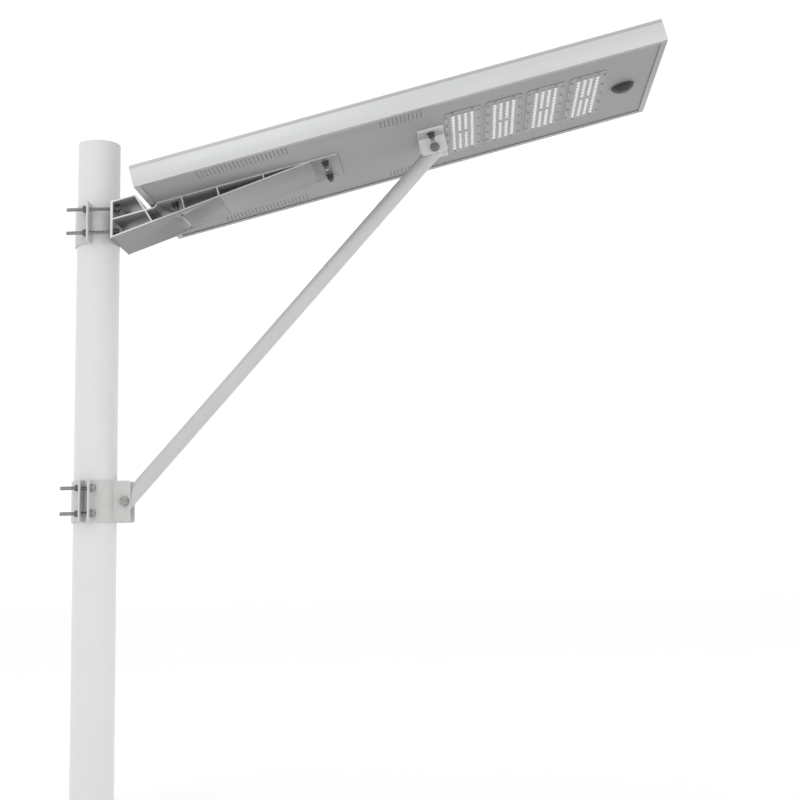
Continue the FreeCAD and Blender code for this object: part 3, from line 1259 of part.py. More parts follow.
def make_wiring():
    """Leads between the panel, the battery, the controller, the LED modules and the sensor."""
    half_width = MODULE_WIDTH / 2
    trunk_y = -half_width - 3 * LEAD_BEND
    low = PLATE_TOP + SINK_BASE / 2
    controller_y = -CONTROLLER_WIDTH / 2
    panel_z = LAMINATE_BOTTOM - JUNCTION_BOX[2] / 2
    gap_x = (CONTROLLER_END + JUNCTION_BOX_X) / 2
    entry_z = PLATE_TOP + CONTROLLER_HEIGHT / 2
    inner_x = BATTERY_END + BATTERY_WALL
    leads = []
    for y in (-LEAD_SPACING / 2, LEAD_SPACING / 2):
        leads.append(rod(Vec(inner_x, y, entry_z), Vec(CONTROLLER_X, y, entry_z), LEAD_DIAMETER / 2))
        leads.append(lead([(JUNCTION_BOX_X, y, panel_z), (gap_x, y, panel_z), (gap_x, y, entry_z),
                           (CONTROLLER_END, y, entry_z)]))
    for step, middle in enumerate(module_places()):
        start_x = CONTROLLER_X + CONTROLLER_LENGTH * (step + 1) / (MODULE_COUNT + 2)
        y = trunk_y - step * 2 * LEAD_DIAMETER
        leads.append(lead([(start_x, controller_y, low), (start_x, y, low), (middle, y, low),
                           (middle, -half_width, low)]))
    start_x = CONTROLLER_X + CONTROLLER_LENGTH * (MODULE_COUNT + 1) / (MODULE_COUNT + 2)
    sensor_y = trunk_y - MODULE_COUNT * 2 * LEAD_DIAMETER
    sensor_edge = SENSOR_DIAMETER / 2 - 2 * SENSOR_DOME_WALL
    high = PLATE_TOP + SENSOR_HOUSING_HEIGHT / 2
    leads.append(lead([(start_x, controller_y, high), (start_x, sensor_y, high), (SENSOR_X, sensor_y, high),
                       (SENSOR_X, -sensor_edge, high)]))
    return Part.makeCompound(leads)


# ---- The whole lamp ------------------------------------------------------------------------------
WORLD_PARTS = {
    "pole": make_pole,
    "pole_cap": make_pole_cap,
    "upper_rear_clamp": make_upper_rear_clamp,
    "upper_rear_nuts": make_upper_rear_nuts,
    "upper_clamp_studs": make_upper_clamp_studs,
    "upper_front_nuts": make_upper_front_nuts,
    "lower_front_clamp": make_lower_front_clamp,
    "lower_clamp_bolts": make_lower_clamp_bolts,
    "lower_rear_clamp": make_lower_rear_clamp,
    "lower_rear_nuts": make_lower_rear_nuts,
    "strut_tube": make_strut_tube,
    "strut_end_plugs": make_strut_plugs,
    "pivot_bolts": make_pivot_bolts,
    "pivot_nuts": make_pivot_nuts,
    "pivot_spacers": make_pivot_spacers,
}

HEAD_PARTS = {
    "side_rail_left": lambda: make_side_rail(-1),
    "side_rail_right": lambda: make_side_rail(1),
    "end_rail_inner": lambda: make_end_rail(False),
    "end_rail_outer": lambda: make_end_rail(True),
    "corner_keys": make_corner_keys,
    "back_plate": make_back_plate,
    "back_plate_seal": make_plate_seal,
    "solar_glass": lambda: slab(LAMINATE_INSET, GLASS_BOTTOM, LAMINATE_TOP),
    "encapsulant": make_encapsulant,
    "solar_cells": make_solar_cells,
    "cell_ribbons": make_cell_ribbons,
    "backsheet": lambda: slab(LAMINATE_INSET, LAMINATE_BOTTOM, ENCAPSULANT_BOTTOM),
    "panel_seal": make_panel_seal,
    "junction_box": make_junction_box,
    "arm_bracket": make_arm_bracket,
    "arm_backing_plate": make_arm_backing,
    "head_bolts": make_head_bolts,
    "head_nuts": make_head_nuts,
    "strut_lug": make_strut_lug,
    "lug_backing_plate": make_lug_backing,
    "heat_sinks": make_heat_sinks,
    "led_chips": make_led_chips,
    "led_screws": make_led_screws,
    "sensor_ring": make_sensor_ring,
    "sensor_lens": make_sensor_lens,
    "sensor_housing": make_sensor_housing,
    "sensor_board": make_sensor_board,
    "battery_tray": make_battery_tray,
    "battery_lid": make_battery_lid,
    "battery_cells": make_battery_cells,
    "cell_links": make_cell_links,
    "battery_board": make_battery_board,
    "controller_case": make_controller_case,
    "controller_lid": make_controller_lid,
    "controller_board": make_controller_board,
    "wiring": make_wiring,
}


def save(name, shape):
    shape.exportStep("parts/" + name + ".step")


def build():
    os.makedirs("parts", exist_ok=True)
    for name, make in WORLD_PARTS.items():
        save(name, make())
    for name, make in HEAD_PARTS.items():
        save(name, tilted(make()))
    for number, x in enumerate(module_places(), start=1):
        save("lens_cover_%d" % number, tilted(make_lens_cover(x)))
        save("led_board_%d" % number, tilted(make_led_board(x)))


build()
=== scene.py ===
"""Solar street lamp on its pole: finishes, fine hardware and studio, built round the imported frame."""

import math

import bmesh
import bpy
from bpy.props import FloatProperty, FloatVectorProperty, IntProperty, PointerProperty
from mathutils import Matrix, Vector
from mathutils.bvhtree import BVHTree


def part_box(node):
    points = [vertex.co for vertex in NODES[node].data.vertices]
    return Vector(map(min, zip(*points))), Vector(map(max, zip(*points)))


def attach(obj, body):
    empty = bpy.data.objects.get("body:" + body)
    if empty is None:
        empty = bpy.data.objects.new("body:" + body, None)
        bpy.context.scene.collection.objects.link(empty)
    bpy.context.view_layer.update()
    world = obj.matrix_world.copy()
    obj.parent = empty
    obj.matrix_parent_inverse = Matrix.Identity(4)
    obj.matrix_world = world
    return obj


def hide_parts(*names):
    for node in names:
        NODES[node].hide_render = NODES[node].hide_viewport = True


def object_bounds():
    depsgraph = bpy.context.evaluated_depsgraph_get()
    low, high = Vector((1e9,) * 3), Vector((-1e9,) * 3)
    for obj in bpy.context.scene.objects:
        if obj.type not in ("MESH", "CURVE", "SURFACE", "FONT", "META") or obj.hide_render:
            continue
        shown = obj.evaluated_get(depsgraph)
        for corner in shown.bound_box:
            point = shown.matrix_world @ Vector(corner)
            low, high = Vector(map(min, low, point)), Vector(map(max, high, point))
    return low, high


bl_info = {
    "name": "Solar Street Lamp",
    "version": (1, 0, 0),
    "blender": (4, 5, 0),
    "location": "3D View > Sidebar > Street Lamp",
    "description": "Builds the visible pieces and finishes of a solar street lamp on its pole",
    "category": "Object",
}

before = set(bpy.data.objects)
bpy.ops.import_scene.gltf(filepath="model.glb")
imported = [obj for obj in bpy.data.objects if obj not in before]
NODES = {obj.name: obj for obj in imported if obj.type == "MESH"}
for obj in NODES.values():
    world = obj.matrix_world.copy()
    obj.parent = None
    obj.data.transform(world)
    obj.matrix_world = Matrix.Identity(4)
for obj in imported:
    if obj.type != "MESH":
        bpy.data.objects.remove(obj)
CAD_LOW, CAD_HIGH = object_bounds()
MM = 0.001


# ---- Where things are, read from the frame -------------------------------------------------------
def head_axes():
    """Turns head coordinates (along, across, up from its underside) into the row frame.

    The side rail's lowest corner is the head's origin, and its furthest corner gives the tilt.
    """
    corners = [v.co for v in NODES["side_rail_left"].data.vertices]
    near = min(corners, key=lambda c: c.z)
    far = max(corners, key=lambda c: c.x)
    tilt = math.atan2(far.z - near.z, far.x - near.x)
    place = Matrix.Translation((near.x, 0, near.z)) @ Matrix.Rotation(-tilt, 4, "Y")
    return place, tilt


HEAD, TILT = head_axes()


def islands(node):
    """The lowest and highest corner of each separate solid in a CAD node, in the row frame."""
    mesh = bmesh.new()
    mesh.from_mesh(NODES[node].data)
    bmesh.ops.remove_doubles(mesh, verts=mesh.verts, dist=1e-6)
    boxes = []
    seen = set()
    for start in mesh.verts:
        if start in seen:
            continue
        group = [start]
        seen.add(start)
        for vert in group:
            for edge in vert.link_edges:
                other = edge.other_vert(vert)
                if other not in seen:
                    seen.add(other)
                    group.append(other)
        low = Vector([min(v.co[axis] for v in group) for axis in range(3)])
        high = Vector([max(v.co[axis] for v in group) for axis in range(3)])
        boxes.append((low, high))
    mesh.free()
    return boxes


def middle(corners):
    return (corners[0] + corners[1]) / 2


def head_box(node):
    """A CAD node's lowest and highest corner in head coordinates."""
    to_head = HEAD.inverted()
    corners = [to_head @ v.co for v in NODES[node].data.vertices]
    low = Vector([min(c[axis] for c in corners) for axis in range(3)])
    high = Vector([max(c[axis] for c in corners) for axis in range(3)])
    return low, high


# ---- Sizes and colours that a user would change --------------------------------------------------
def length(name, text, default):
    return FloatProperty(name=name, description=text, default=default, unit="LENGTH", precision=5)


def colour(name, text, default):
    return FloatVectorProperty(name=name, description=text, default=default, subtype="COLOR", size=3,
                               min=0, max=1)


class StreetLampSizes(bpy.types.PropertyGroup):
    """Fine sizes of the pieces that Blender makes."""

    rail_edge: length("Rail edge", "Rounding of the frame rails' edges", 0.7 * MM)
    rail_strip: length("Rail strip", "Height of the step below the rails' top strip", 38.0 * MM)
    casting_edge: length("Bracket edge", "Rounding of the arm's, clamps' and lug's edges", 0.5 * MM)
    thread_pitch: length("Thread pitch", "Distance between threads on the clamp bolts", 1.25 * MM)
    thread_depth: length("Thread depth", "Height of a thread", 0.6 * MM)
    cell_pitch_long: length("Cell pitch along", "From one cell to the next along the head", 95.3 * MM)
    cell_pitch_wide: length("Cell pitch across", "From one cell to the next across the head", 128.7 * MM)
    tube_edge: length("Tube edge", "Rounding of the strut's sawn ends and holes", 0.3 * MM)
    lens_lobe: length("Lens lobe", "Diameter of each of a lens's two lobes", 5.2 * MM)
    lens_width: length("Lens width", "Width of one lens along the head", 7.2 * MM)
    lens_height: length("Lens height", "How far one lens stands out", 3.0 * MM)
    lens_rows: IntProperty(name="Lens rows", description="Rows of lenses on a module", default=4, min=1)
    lens_columns: IntProperty(name="Lens columns", description="Lenses in a full row", default=13, min=1)
    lens_row_pitch: length("Row pitch", "Distance between rows of lenses", 13.3 * MM)
    lens_column_pitch: length("Lens pitch", "Distance between lenses in a row", 17.0 * MM)
    dome_facets: IntProperty(name="Dome facets", description="Facets round the sensor's dome", default=20,
                             min=6)
    weld_bead: length("Weld bead", "Thickness of the bead round the pole's cap", 1.6 * MM)


class StreetLampFinishes(bpy.types.PropertyGroup):
    """Colours of the lamp's finishes, as linear values."""

    pole_white: colour("Pole white", "Powder coat on the pole", (0.62, 0.62, 0.62))
    anodised: colour("Anodised silver", "Frame rails", (0.56, 0.565, 0.57))
    # Darker than the plate's own light silver: painted shade on the head's underside.
    plate_shaded_grey: colour("Plate grey", "Fine grey coat on the back plate", (0.23, 0.23, 0.226))
    # The arm keeps this tone only on its top; its other faces are darkened as painted shade.
    bracket_grey: colour("Bracket grey", "Coat on top of the arm, duller elsewhere", (0.50, 0.50, 0.49))
    hollow_grey: colour("Hollow grey", "Mill finish inside the arm's hollows", (0.42, 0.42, 0.43))
    lug_grey: colour("Lug grey", "Coat on the strut's lug", (0.76, 0.76, 0.75))
    bare_cut: colour("Bare cut", "Sawn aluminium on the arm's two sides", (0.66, 0.66, 0.65))
    clamp_grey: colour("Clamp grey", "Coat on the clamps", (0.56, 0.56, 0.55))
    strut_grey: colour("Strut grey", "Coat on the strut", (0.54, 0.54, 0.535))
    steel: colour("Steel", "Stainless bolts", (0.36, 0.357, 0.35))
    # Nuts: a darkened copy of the steel, as painted shade.
    dark_steel: colour("Dark steel", "Blackened nuts", (0.13, 0.13, 0.128))
    cell_blue: colour("Cell blue", "Mono silicon under its coating", (0.006, 0.008, 0.018))
    sensor_black: colour("Sensor black", "Smoked dome of the motion sensor", (0.012, 0.012, 0.013))


UNDERSIDE = -0.7  # a face counts as looking down while its normal's upward part is below this


# ---- Shader arithmetic ---------------------------------------------------------------------------
class Value:
    """A number that varies over a surface. Each operator adds one Math node."""

    def __init__(self, graph, socket):
        self.graph = graph
        self.socket = socket

    def _math(self, operation, first, second):
        node = self.graph.node("ShaderNodeMath", {"operation": operation}, {0: first, 1: second})
        return Value(self.graph, node.outputs[0])

    def __add__(self, other):
        return self._math("ADD", self, other)

    def __radd__(self, other):
        return self._math("ADD", other, self)

    def __sub__(self, other):
        return self._math("SUBTRACT", self, other)

    def __rsub__(self, other):
        return self._math("SUBTRACT", other, self)

    def __mul__(self, other):
        return self._math("MULTIPLY", self, other)

    def __rmul__(self, other):
        return self._math("MULTIPLY", other, self)

    def __pow__(self, other):
        return self._math("POWER", self, other)

    def __lt__(self, other):
        return self._math("LESS_THAN", self, other)

    def __gt__(self, other):
        return self._math("GREATER_THAN", self, other)

    def wrapped(self, period):
        return self._math("FLOORED_MODULO", self, period)


class Graph:
    """One material and its nodes."""

    def __init__(self, name, roughness=0.5, metallic=0.0, **constants):
        self.material = bpy.data.materials.new(name)
        self.material.use_nodes = True
        self.tree = self.material.node_tree
        self.shader = self.tree.nodes["Principled BSDF"]
        self.output = self.tree.nodes["Material Output"]
        self.shader.inputs["Roughness"].default_value = roughness
        self.shader.inputs["Metallic"].default_value = metallic
        for socket, value in constants.items():
            self.shader.inputs[socket.replace("_", " ")].default_value = value

    def node(self, kind, settings, inputs):
        """Adds a node: first its settings, then the values or links of its sockets."""
        made = self.tree.nodes.new(kind)
        for key, value in settings.items():
            setattr(made, key, value)
        for socket, value in inputs.items():
            self.feed(made.inputs[socket], value)
        return made

    def feed(self, socket, value):
        if isinstance(value, Value):
            self.tree.links.new(value.socket, socket)
        elif isinstance(value, bpy.types.NodeSocket):
            self.tree.links.new(value, socket)
        else:
            socket.default_value = value

    def place(self):
        """Object coordinates, in metres in the row frame."""
        return self.node("ShaderNodeTexCoord", {}, {}).outputs["Object"]

    def head_place(self):
        """The same point in head coordinates: along the head, across it and up from its underside."""
        origin = HEAD.inverted().translation
        mapping = self.node("ShaderNodeMapping", {}, {"Vector": self.place(), "Rotation": (0, TILT, 0),
                                                      "Location": origin})
        return mapping.outputs[0]

    def stretched(self, vector, scale):
        mapping = self.node("ShaderNodeMapping", {}, {"Vector": vector, "Scale": scale})
        return mapping.outputs[0]

    def along(self, vector, axis):
        parts = self.node("ShaderNodeSeparateXYZ", {}, {0: vector})
        return Value(self, parts.outputs[axis])

    def noise(self, vector, scale, detail=2.0, rough=0.5):
        made = self.node("ShaderNodeTexNoise", {}, {"Vector": vector, "Scale": scale, "Detail": detail,
                                                    "Roughness": rough})
        return Value(self, made.outputs["Fac"])

    def speckle(self, vector, scale):
        made = self.node("ShaderNodeTexVoronoi", {}, {"Vector": vector, "Scale": scale})
        return Value(self, made.outputs["Distance"])

    def range(self, value, low, high, to_low=0.0, to_high=1.0):
        made = self.node("ShaderNodeMapRange", {"clamp": True}, {
            "Value": value, "From Min": low, "From Max": high, "To Min": to_low, "To Max": to_high})
        return Value(self, made.outputs[0])

    def blend(self, share, first, second):
        """One colour turning into another."""
        settings = {"data_type": "RGBA", "blend_type": "MIX"}
        made = self.node("ShaderNodeMix", settings, {0: share, 6: as_colour(first), 7: as_colour(second)})
        return made.outputs[2]

    def worn_edges(self, strength):
        """1 along outer edges, from how sharply the surface turns."""
        barely, sharply = 0.53, 0.62
        turning = self.node("ShaderNodeNewGeometry", {}, {}).outputs["Pointiness"]
        return self.range(Value(self, turning), barely, sharply, 0.0, strength)

    def looking_down(self, until):
        """1 on faces that look down, fading to 0 where the normal's upward part reaches until."""
        fade = 0.2
        normal = self.node("ShaderNodeNewGeometry", {}, {}).outputs["Normal"]
        return self.range(self.along(normal, "Z"), until - fade, until, 1.0, 0.0)

    def paint(self, value):
        self.feed(self.shader.inputs["Base Color"], value)

    def roughen(self, value):
        self.feed(self.shader.inputs["Roughness"], value)

    def emboss(self, height, distance, strength):
        bump = self.node("ShaderNodeBump", {}, {"Height": height, "Distance": distance, "Strength": strength})
        self.feed(self.shader.inputs["Normal"], bump.outputs[0])


def as_colour(value):
    if isinstance(value, (Value, bpy.types.NodeSocket)):
        return value
    return (*value, 1.0)


def shade(base, factor):
    return tuple(min(1.0, channel * factor) for channel in base)


# ---- Finishes ------------------------------------------------------------------------------------
def powder_coat(name, base, roughness=0.42, peel=700.0, dirt=0.06, flecks=0.35, under=1.0,
                until=UNDERSIDE):
    """Satin powder coat: fine orange peel, cloudy tone, brighter worn edges and a little dust.

    under is how much of its tone is left on faces that look down, as painted shade, and until is the
    upward part of the normal from which it keeps all of it.
    """
    graph = Graph(name, Coat_Weight=0.12, Coat_Roughness=0.3)
    place = graph.place()
    cloud = graph.noise(place, 9.0, 3.0)
    grain = graph.noise(place, peel, 2.0, 0.6)
    pits = graph.speckle(place, peel * 0.6)
    tone = graph.blend(graph.range(cloud, 0.3, 0.7), shade(base, 1 - dirt), shade(base, 1 + dirt * 0.4))
    fleck = graph.blend(graph.range(grain, 0.35, 0.65, 0.0, flecks), tone, shade(base, 0.86))
    # painted shade: faces that look down keep only the share under of their tone
    shaded = graph.blend(graph.looking_down(until), fleck, shade(base, under))
    graph.paint(graph.blend(graph.worn_edges(0.55), shaded, shade(base, 1.22)))
    graph.roughen(roughness + (cloud - 0.5) * 0.14 + (grain - 0.5) * 0.10)
    graph.emboss(grain * 0.7 + pits * 0.3, 0.00003, 0.5)
    return graph.material


def anodised(name, base, scale=(6.0, 520.0, 520.0), strip=1.0, under=1.0):
    """Extruded and anodised aluminium: faint die lines along the rail under a satin film.

    strip is the height above which the rail is darker, where it steps back; from about half that height it
    already darkens a little.
    under is how much of its tone is left on faces that look down, as painted shade.
    """
    step = 0.3 * MM
    graph = Graph(name, Coat_Weight=0.2, Coat_Roughness=0.25)
    place = graph.head_place()
    lines = graph.noise(graph.stretched(place, scale), 1.0, 3.0, 0.65)
    cloud = graph.noise(place, 7.0, 2.0)
    height = graph.along(place, "Z")
    tone = graph.blend(graph.range(lines, 0.3, 0.7), shade(base, 0.93), shade(base, 1.05))
    clouded = graph.blend(graph.range(cloud, 0.35, 0.65, 0.0, 0.3), tone, shade(base, 0.9))
    # darker towards the top of the rail, and darker still above the strip
    upward_darkening = graph.range(height, strip * 0.45, strip * 0.75, 0.0, 0.5)
    darkened_upward = graph.blend(upward_darkening, clouded, shade(base, 0.86))
    stepped = graph.blend(graph.range(height, strip - step, strip + step), darkened_upward, shade(base, 0.72))
    # painted shade on faces that look down
    shaded = graph.blend(graph.looking_down(UNDERSIDE), stepped, shade(base, under))
    graph.paint(graph.blend(graph.worn_edges(0.6), shaded, shade(base, 1.2)))
    graph.feed(graph.shader.inputs["Metallic"], graph.range(cloud, 0.0, 1.0, 0.25, 0.4))
    graph.roughen(0.36 + (lines - 0.5) * 0.22 + (cloud - 0.5) * 0.08)
    graph.emboss(lines, 0.00012, 0.4)
    return graph.material


def stainless(name, base, roughness=0.28):
    """Turned stainless steel with faint tarnish in patches."""
    graph = Graph(name, metallic=1.0)
    place = graph.place()
    stain = graph.noise(place, 160.0, 4.0, 0.6)
    grain = graph.noise(graph.stretched(place, (400.0, 3000.0, 3000.0)), 1.0, 2.0)
    dull = graph.blend(graph.range(stain, 0.42, 0.72), base, shade(base, 0.62))
    graph.paint(graph.blend(graph.worn_edges(0.5), dull, shade(base, 1.3)))
    graph.roughen(roughness + stain * 0.16 + (grain - 0.5) * 0.12)
    graph.emboss(grain, 0.00006, 0.4)
    return graph.material


def moulded(name, base, roughness=0.5, texture=900.0):
    """Moulded plastic, rubber or film with a fine spark texture."""
    graph = Graph(name)
    place = graph.place()
    grain = graph.speckle(place, texture)
    cloud = graph.noise(place, 25.0, 3.0)
    graph.paint(graph.blend(graph.range(cloud, 0.3, 0.7), shade(base, 0.88), shade(base, 1.12)))
    graph.roughen(roughness + (cloud - 0.5) * 0.18 + (grain - 0.4) * 0.1)
    graph.emboss(grain, 0.00010, 0.5)
    return graph.material


def circuit_board(name, base):
    """Solder mask over copper tracks that run both ways."""
    graph = Graph(name, Coat_Weight=0.3)
    place = graph.head_place()
    pitch_across, track_across = 3.2 * MM, 0.7 * MM
    pitch_along, track_along = 4.1 * MM, 0.6 * MM
    across = graph.along(place, "Y").wrapped(pitch_across)
    along = graph.along(place, "X").wrapped(pitch_along)
    tracks = (across < track_across) * 0.6 + (along < track_along) * 0.4
    weave = graph.noise(place, 1400.0, 2.0)
    tone = graph.blend(tracks, base, shade(base, 1.35))
    graph.paint(graph.blend(graph.range(weave, 0.3, 0.7, 0.0, 0.2), tone, shade(base, 0.7)))
    graph.roughen(0.34 + tracks * 0.1 + (weave - 0.5) * 0.1)
    graph.emboss(tracks, 0.00008, 0.5)
    return graph.material


def solar_cell(name, base):
    """Mono silicon: fine silver fingers across the busbars, and a slight tint that differs by cell."""
    graph = Graph(name, Coat_Weight=0.1, Coat_Roughness=0.1, Specular_IOR_Level=0.15)
    place = graph.head_place()
    finger_pitch = 2.1 * MM
    finger_width = 0.09 * MM
    fingers = graph.along(place, "X").wrapped(finger_pitch) < finger_width
    cloud = graph.noise(place, 11.0, 2.0)
    long = sizes().cell_pitch_long
    wide = sizes().cell_pitch_wide
    low, high = head_box("solar_cells")
    centre = (low + high) / 2
    by_cell = graph.node("ShaderNodeMapping", {}, {
        "Vector": place, "Scale": (1 / long, 1 / wide, 1.0),
        "Location": (0.5 - centre.x / long, 0.5 - centre.y / wide, 0.0)})
    cells = graph.node("ShaderNodeTexVoronoi", {"voronoi_dimensions": "2D"}, {
        "Vector": by_cell.outputs[0], "Scale": 1.0, "Randomness": 0.0})
    tint = graph.along(cells.outputs["Color"], "X")
    deep = graph.blend(graph.range(tint, 0.0, 1.0), base, shade(base, 1.7))
    clouded = graph.blend(graph.range(cloud, 0.4, 0.7, 0.0, 0.4), deep, shade(base, 0.6))
    graph.paint(graph.blend(fingers * 0.2, clouded, (0.24, 0.25, 0.27)))
    graph.roughen(0.3 + fingers * 0.2 + (cloud - 0.5) * 0.08)
    graph.emboss(fingers, 0.00003, 0.4)
    return graph.material


def clear_sheet(name, tint, body, roughness, share, slant_gloss=0.8):
    """A see-through sheet or moulding: share is what shows face on, and gloss grows at a slant."""
    graph = Graph(name, roughness=roughness)
    place = graph.place()
    ripple = graph.noise(place, 420.0, 2.0)
    graph.paint(graph.blend(ripple, shade(body, 0.9), body))
    graph.roughen(roughness + (ripple - 0.5) * 0.05)
    graph.emboss(ripple, 0.00002, 0.5)
    clear = graph.node("ShaderNodeBsdfTransparent", {}, {"Color": (*tint, 1.0)})
    slant = graph.node("ShaderNodeLayerWeight", {}, {"Blend": 0.5})
    gloss = Value(graph, slant.outputs["Facing"]) ** 5 * slant_gloss + share
    mixed = graph.node("ShaderNodeMixShader", {}, {0: gloss, 1: clear.outputs[0], 2: graph.shader.outputs[0]})
    graph.feed(graph.output.inputs["Surface"], mixed.outputs[0])
    return graph.material


def phosphor(name):
    """LED chips: yellow phosphor square in a white package, with a painted glow for the light their lenses
    catch.
    """
    graph = Graph(name, roughness=0.4)
    place = graph.place()
    grain = graph.noise(place, 2500.0, 2.0)
    graph.paint(graph.blend(graph.range(grain, 0.3, 0.7), (0.95, 0.90, 0.62), (1.0, 0.97, 0.85)))
    graph.feed(graph.shader.inputs["Emission Color"], graph.blend(grain, (1.0, 0.98, 0.9), (1.0, 1.0, 1.0)))
    # painted light: the chips glow though the lamp is off
    graph.shader.inputs["Emission Strength"].default_value = 0.9
    graph.roughen(0.35 + (grain - 0.5) * 0.2)
    graph.emboss(grain, 0.0001, 0.5)
    return graph.material


def shrink_wrap(name, base):
    """Battery cell sleeve, glossy with soft wrinkles."""
    graph = Graph(name, Coat_Weight=0.4, Coat_Roughness=0.15)
    place = graph.head_place()
    wrinkle = graph.noise(graph.stretched(place, (30.0, 220.0, 220.0)), 1.0, 3.0)
    graph.paint(graph.blend(wrinkle, shade(base, 0.75), shade(base, 1.2)))
    graph.roughen(0.3 + (wrinkle - 0.5) * 0.2)
    graph.emboss(wrinkle, 0.0002, 0.5)
    return graph.material


# ---- Mesh building -------------------------------------------------------------------------------
def dress(node, material):
    """Gives a CAD node a finish."""
    for slot in NODES[node].material_slots:
        slot.material = material


def add_piece(name, mesh, materials, body, stands_for=(), smooth_angle=32.0):
    """Makes an object of a finished bmesh, in the row frame, that rides on a body.
    """
    data = bpy.data.meshes.new(name)
    bmesh.ops.recalc_face_normals(mesh, faces=mesh.faces)
    mesh.to_mesh(data)
    mesh.free()
    data.shade_smooth()
    data.set_sharp_from_angle(angle=math.radians(smooth_angle))
    for material in materials:
        data.materials.append(material)
    piece = bpy.data.objects.new(name, data)
    bpy.context.scene.collection.objects.link(piece)
    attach(piece, body)
    if stands_for:
        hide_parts(*stands_for)
    return piece


def rounded_copy(node, width, materials, body, slices=0):
    """The CAD node's own shape with its sharp edges rounded, standing for that node.

    Slices are cuts across its longest edges, so that none of its faces is a long sliver.
    A second material goes on the faces that were sawn square across the lamp, and a third on the walls
    of its hollows, which are those that face another wall of the same piece.
    """
    same_point = 2e-6
    flat_turn = math.radians(0.6)
    sharp_turn = math.radians(35)
    square_on = 0.98
    mesh = bmesh.new()
    mesh.from_mesh(NODES[node].data)
    bmesh.ops.remove_doubles(mesh, verts=mesh.verts, dist=same_point)
    bmesh.ops.dissolve_limit(mesh, angle_limit=flat_turn, verts=mesh.verts, edges=mesh.edges)
    sharp = [edge for edge in mesh.edges
             if edge.is_manifold and edge.calc_face_angle(0.0) > sharp_turn]
    bmesh.ops.bevel(mesh, geom=sharp, offset=width, offset_type="OFFSET", segments=2, profile=0.5,
                    affect="EDGES", clamp_overlap=True, loop_slide=True)
    if slices:
        longest = max(edge.calc_length() for edge in mesh.edges)
        lengthways = [edge for edge in mesh.edges if edge.calc_length() > longest / 2]
        bmesh.ops.subdivide_edges(mesh, edges=lengthways, cuts=slices, use_grid_fill=True)
    if len(materials) > 1:
        mesh.normal_update()
        for face in mesh.faces:
            face.material_index = 1 if abs(face.normal.y) > square_on else 0
    if len(materials) > 2:
        walls = BVHTree.FromBMesh(mesh)
        for face in mesh.faces:
            start = face.calc_center_median() + face.normal * width
            if face.material_index == 0 and walls.ray_cast(start, face.normal)[0]:
                face.material_index = 2
    return add_piece(node + ".finished", mesh, materials, body, (node,), 40.0)


def turns(count):
    """The angles of evenly spaced points round a circle."""
    return [2 * math.pi * step / count for step in range(count)]


def bridge(mesh, lower, upper):
    """The faces between two rings of as many points."""
    faces = []
    for side in range(len(lower)):
        after = (side + 1) % len(lower)
        faces.append(mesh.faces.new((lower[side], lower[after], upper[after], upper[side])))
    return faces


def skin(mesh, rings):
    """The faces between neighbouring rings, and one that closes each end."""
    for lower, upper in zip(rings, rings[1:]):
        bridge(mesh, lower, upper)
    mesh.faces.new(rings[0])
    mesh.faces.new(rings[-1])


def lathe(mesh, profile, place, sides):
    """Turns (radius, height) points round +Z and moves the result by place; closes both ends."""
    rings = []
    for radius, height in profile:
        angles = turns(sides) if radius > 0 else [0]
        rings.append([mesh.verts.new(place @ Vector((radius * math.cos(a), radius * math.sin(a), height)))
                      for a in angles])
    for lower, upper in zip(rings, rings[1:]):
        for side in range(sides):
            after = (side + 1) % sides
            corners = [lower[side % len(lower)], lower[after % len(lower)],
                       upper[after % len(upper)], upper[side % len(upper)]]
            mesh.faces.new(list(dict.fromkeys(corners)))
    for ring in (rings[0], rings[-1]):
        if len(ring) > 2:
            mesh.faces.new(ring)


def aimed(point, direction):
    """A matrix that takes +Z to a direction, at a point."""
    return Matrix.Translation(point) @ Vector(direction).to_track_quat("Z", "Y").to_matrix().to_4x4()


def threaded(mesh, start, end, radius, pitch, depth):
    """A threaded bar: the crest winds round it once for each pitch, and its ends are chamfered."""
    sides = 16
    rings_per_thread = 3
    end_share = 0.919
    along = end - start
    place = aimed(start, along)
    steps = max(4, round(along.length / pitch * rings_per_thread))
    rings = []
    for step in range(steps + 1):
        height = along.length * step / steps
        inward = min(1.0, min(height, along.length - height) / pitch)
        ring = []
        for angle in turns(sides):
            phase = (height / pitch - angle / (2 * math.pi)) % 1.0
            cut = depth * abs(2 * phase - 1) * inward
            reach = (radius - cut) * (end_share + (1 - end_share) * inward)
            at = Vector((reach * math.cos(angle), reach * math.sin(angle), height))
            ring.append(mesh.verts.new(place @ at))
        rings.append(ring)
    skin(mesh, rings)


def hex_block(mesh, place, flats, height):
    """A nut or bolt head: hexagonal, with the chamfer that rounds its corners at both ends."""
    corner = flats / math.sqrt(3)
    sides = 24
    drop = 0.06 * flats
    cropped = 0.90
    rings = []
    for level, share in ((0, cropped), (drop, 1.0), (height - drop, 1.0), (height, cropped)):
        ring = []
        for angle in turns(sides):
            local = (angle % (math.pi / 3)) - math.pi / 6
            reach = min(flats / 2 / math.cos(local), corner * share)
            at = Vector((reach * math.cos(angle), reach * math.sin(angle), level))
            ring.append(mesh.verts.new(place @ at))
        rings.append(ring)
    skin(mesh, rings)


def sizes():
    return bpy.context.scene.street_lamp_sizes


def finishes():
    return bpy.context.scene.street_lamp_finishes


def finish(maker, name, *values, **named):
    """A finish is made once and shared by every piece that has it."""
    return bpy.data.materials.get(name) or maker(name, *values, **named)


def steel():
    return finish(stainless, "stainless_steel", tuple(finishes().steel))


# painted shade: the nuts get the bolts' stainless steel made darker
def shaded_nut_steel():
    return finish(stainless, "blackened_steel", tuple(finishes().dark_steel), roughness=0.34)


def black_plastic():
    return finish(moulded, "black_plastic", (0.02, 0.02, 0.02))


def green_mask():
    return finish(circuit_board, "green_mask", (0.015, 0.12, 0.04))


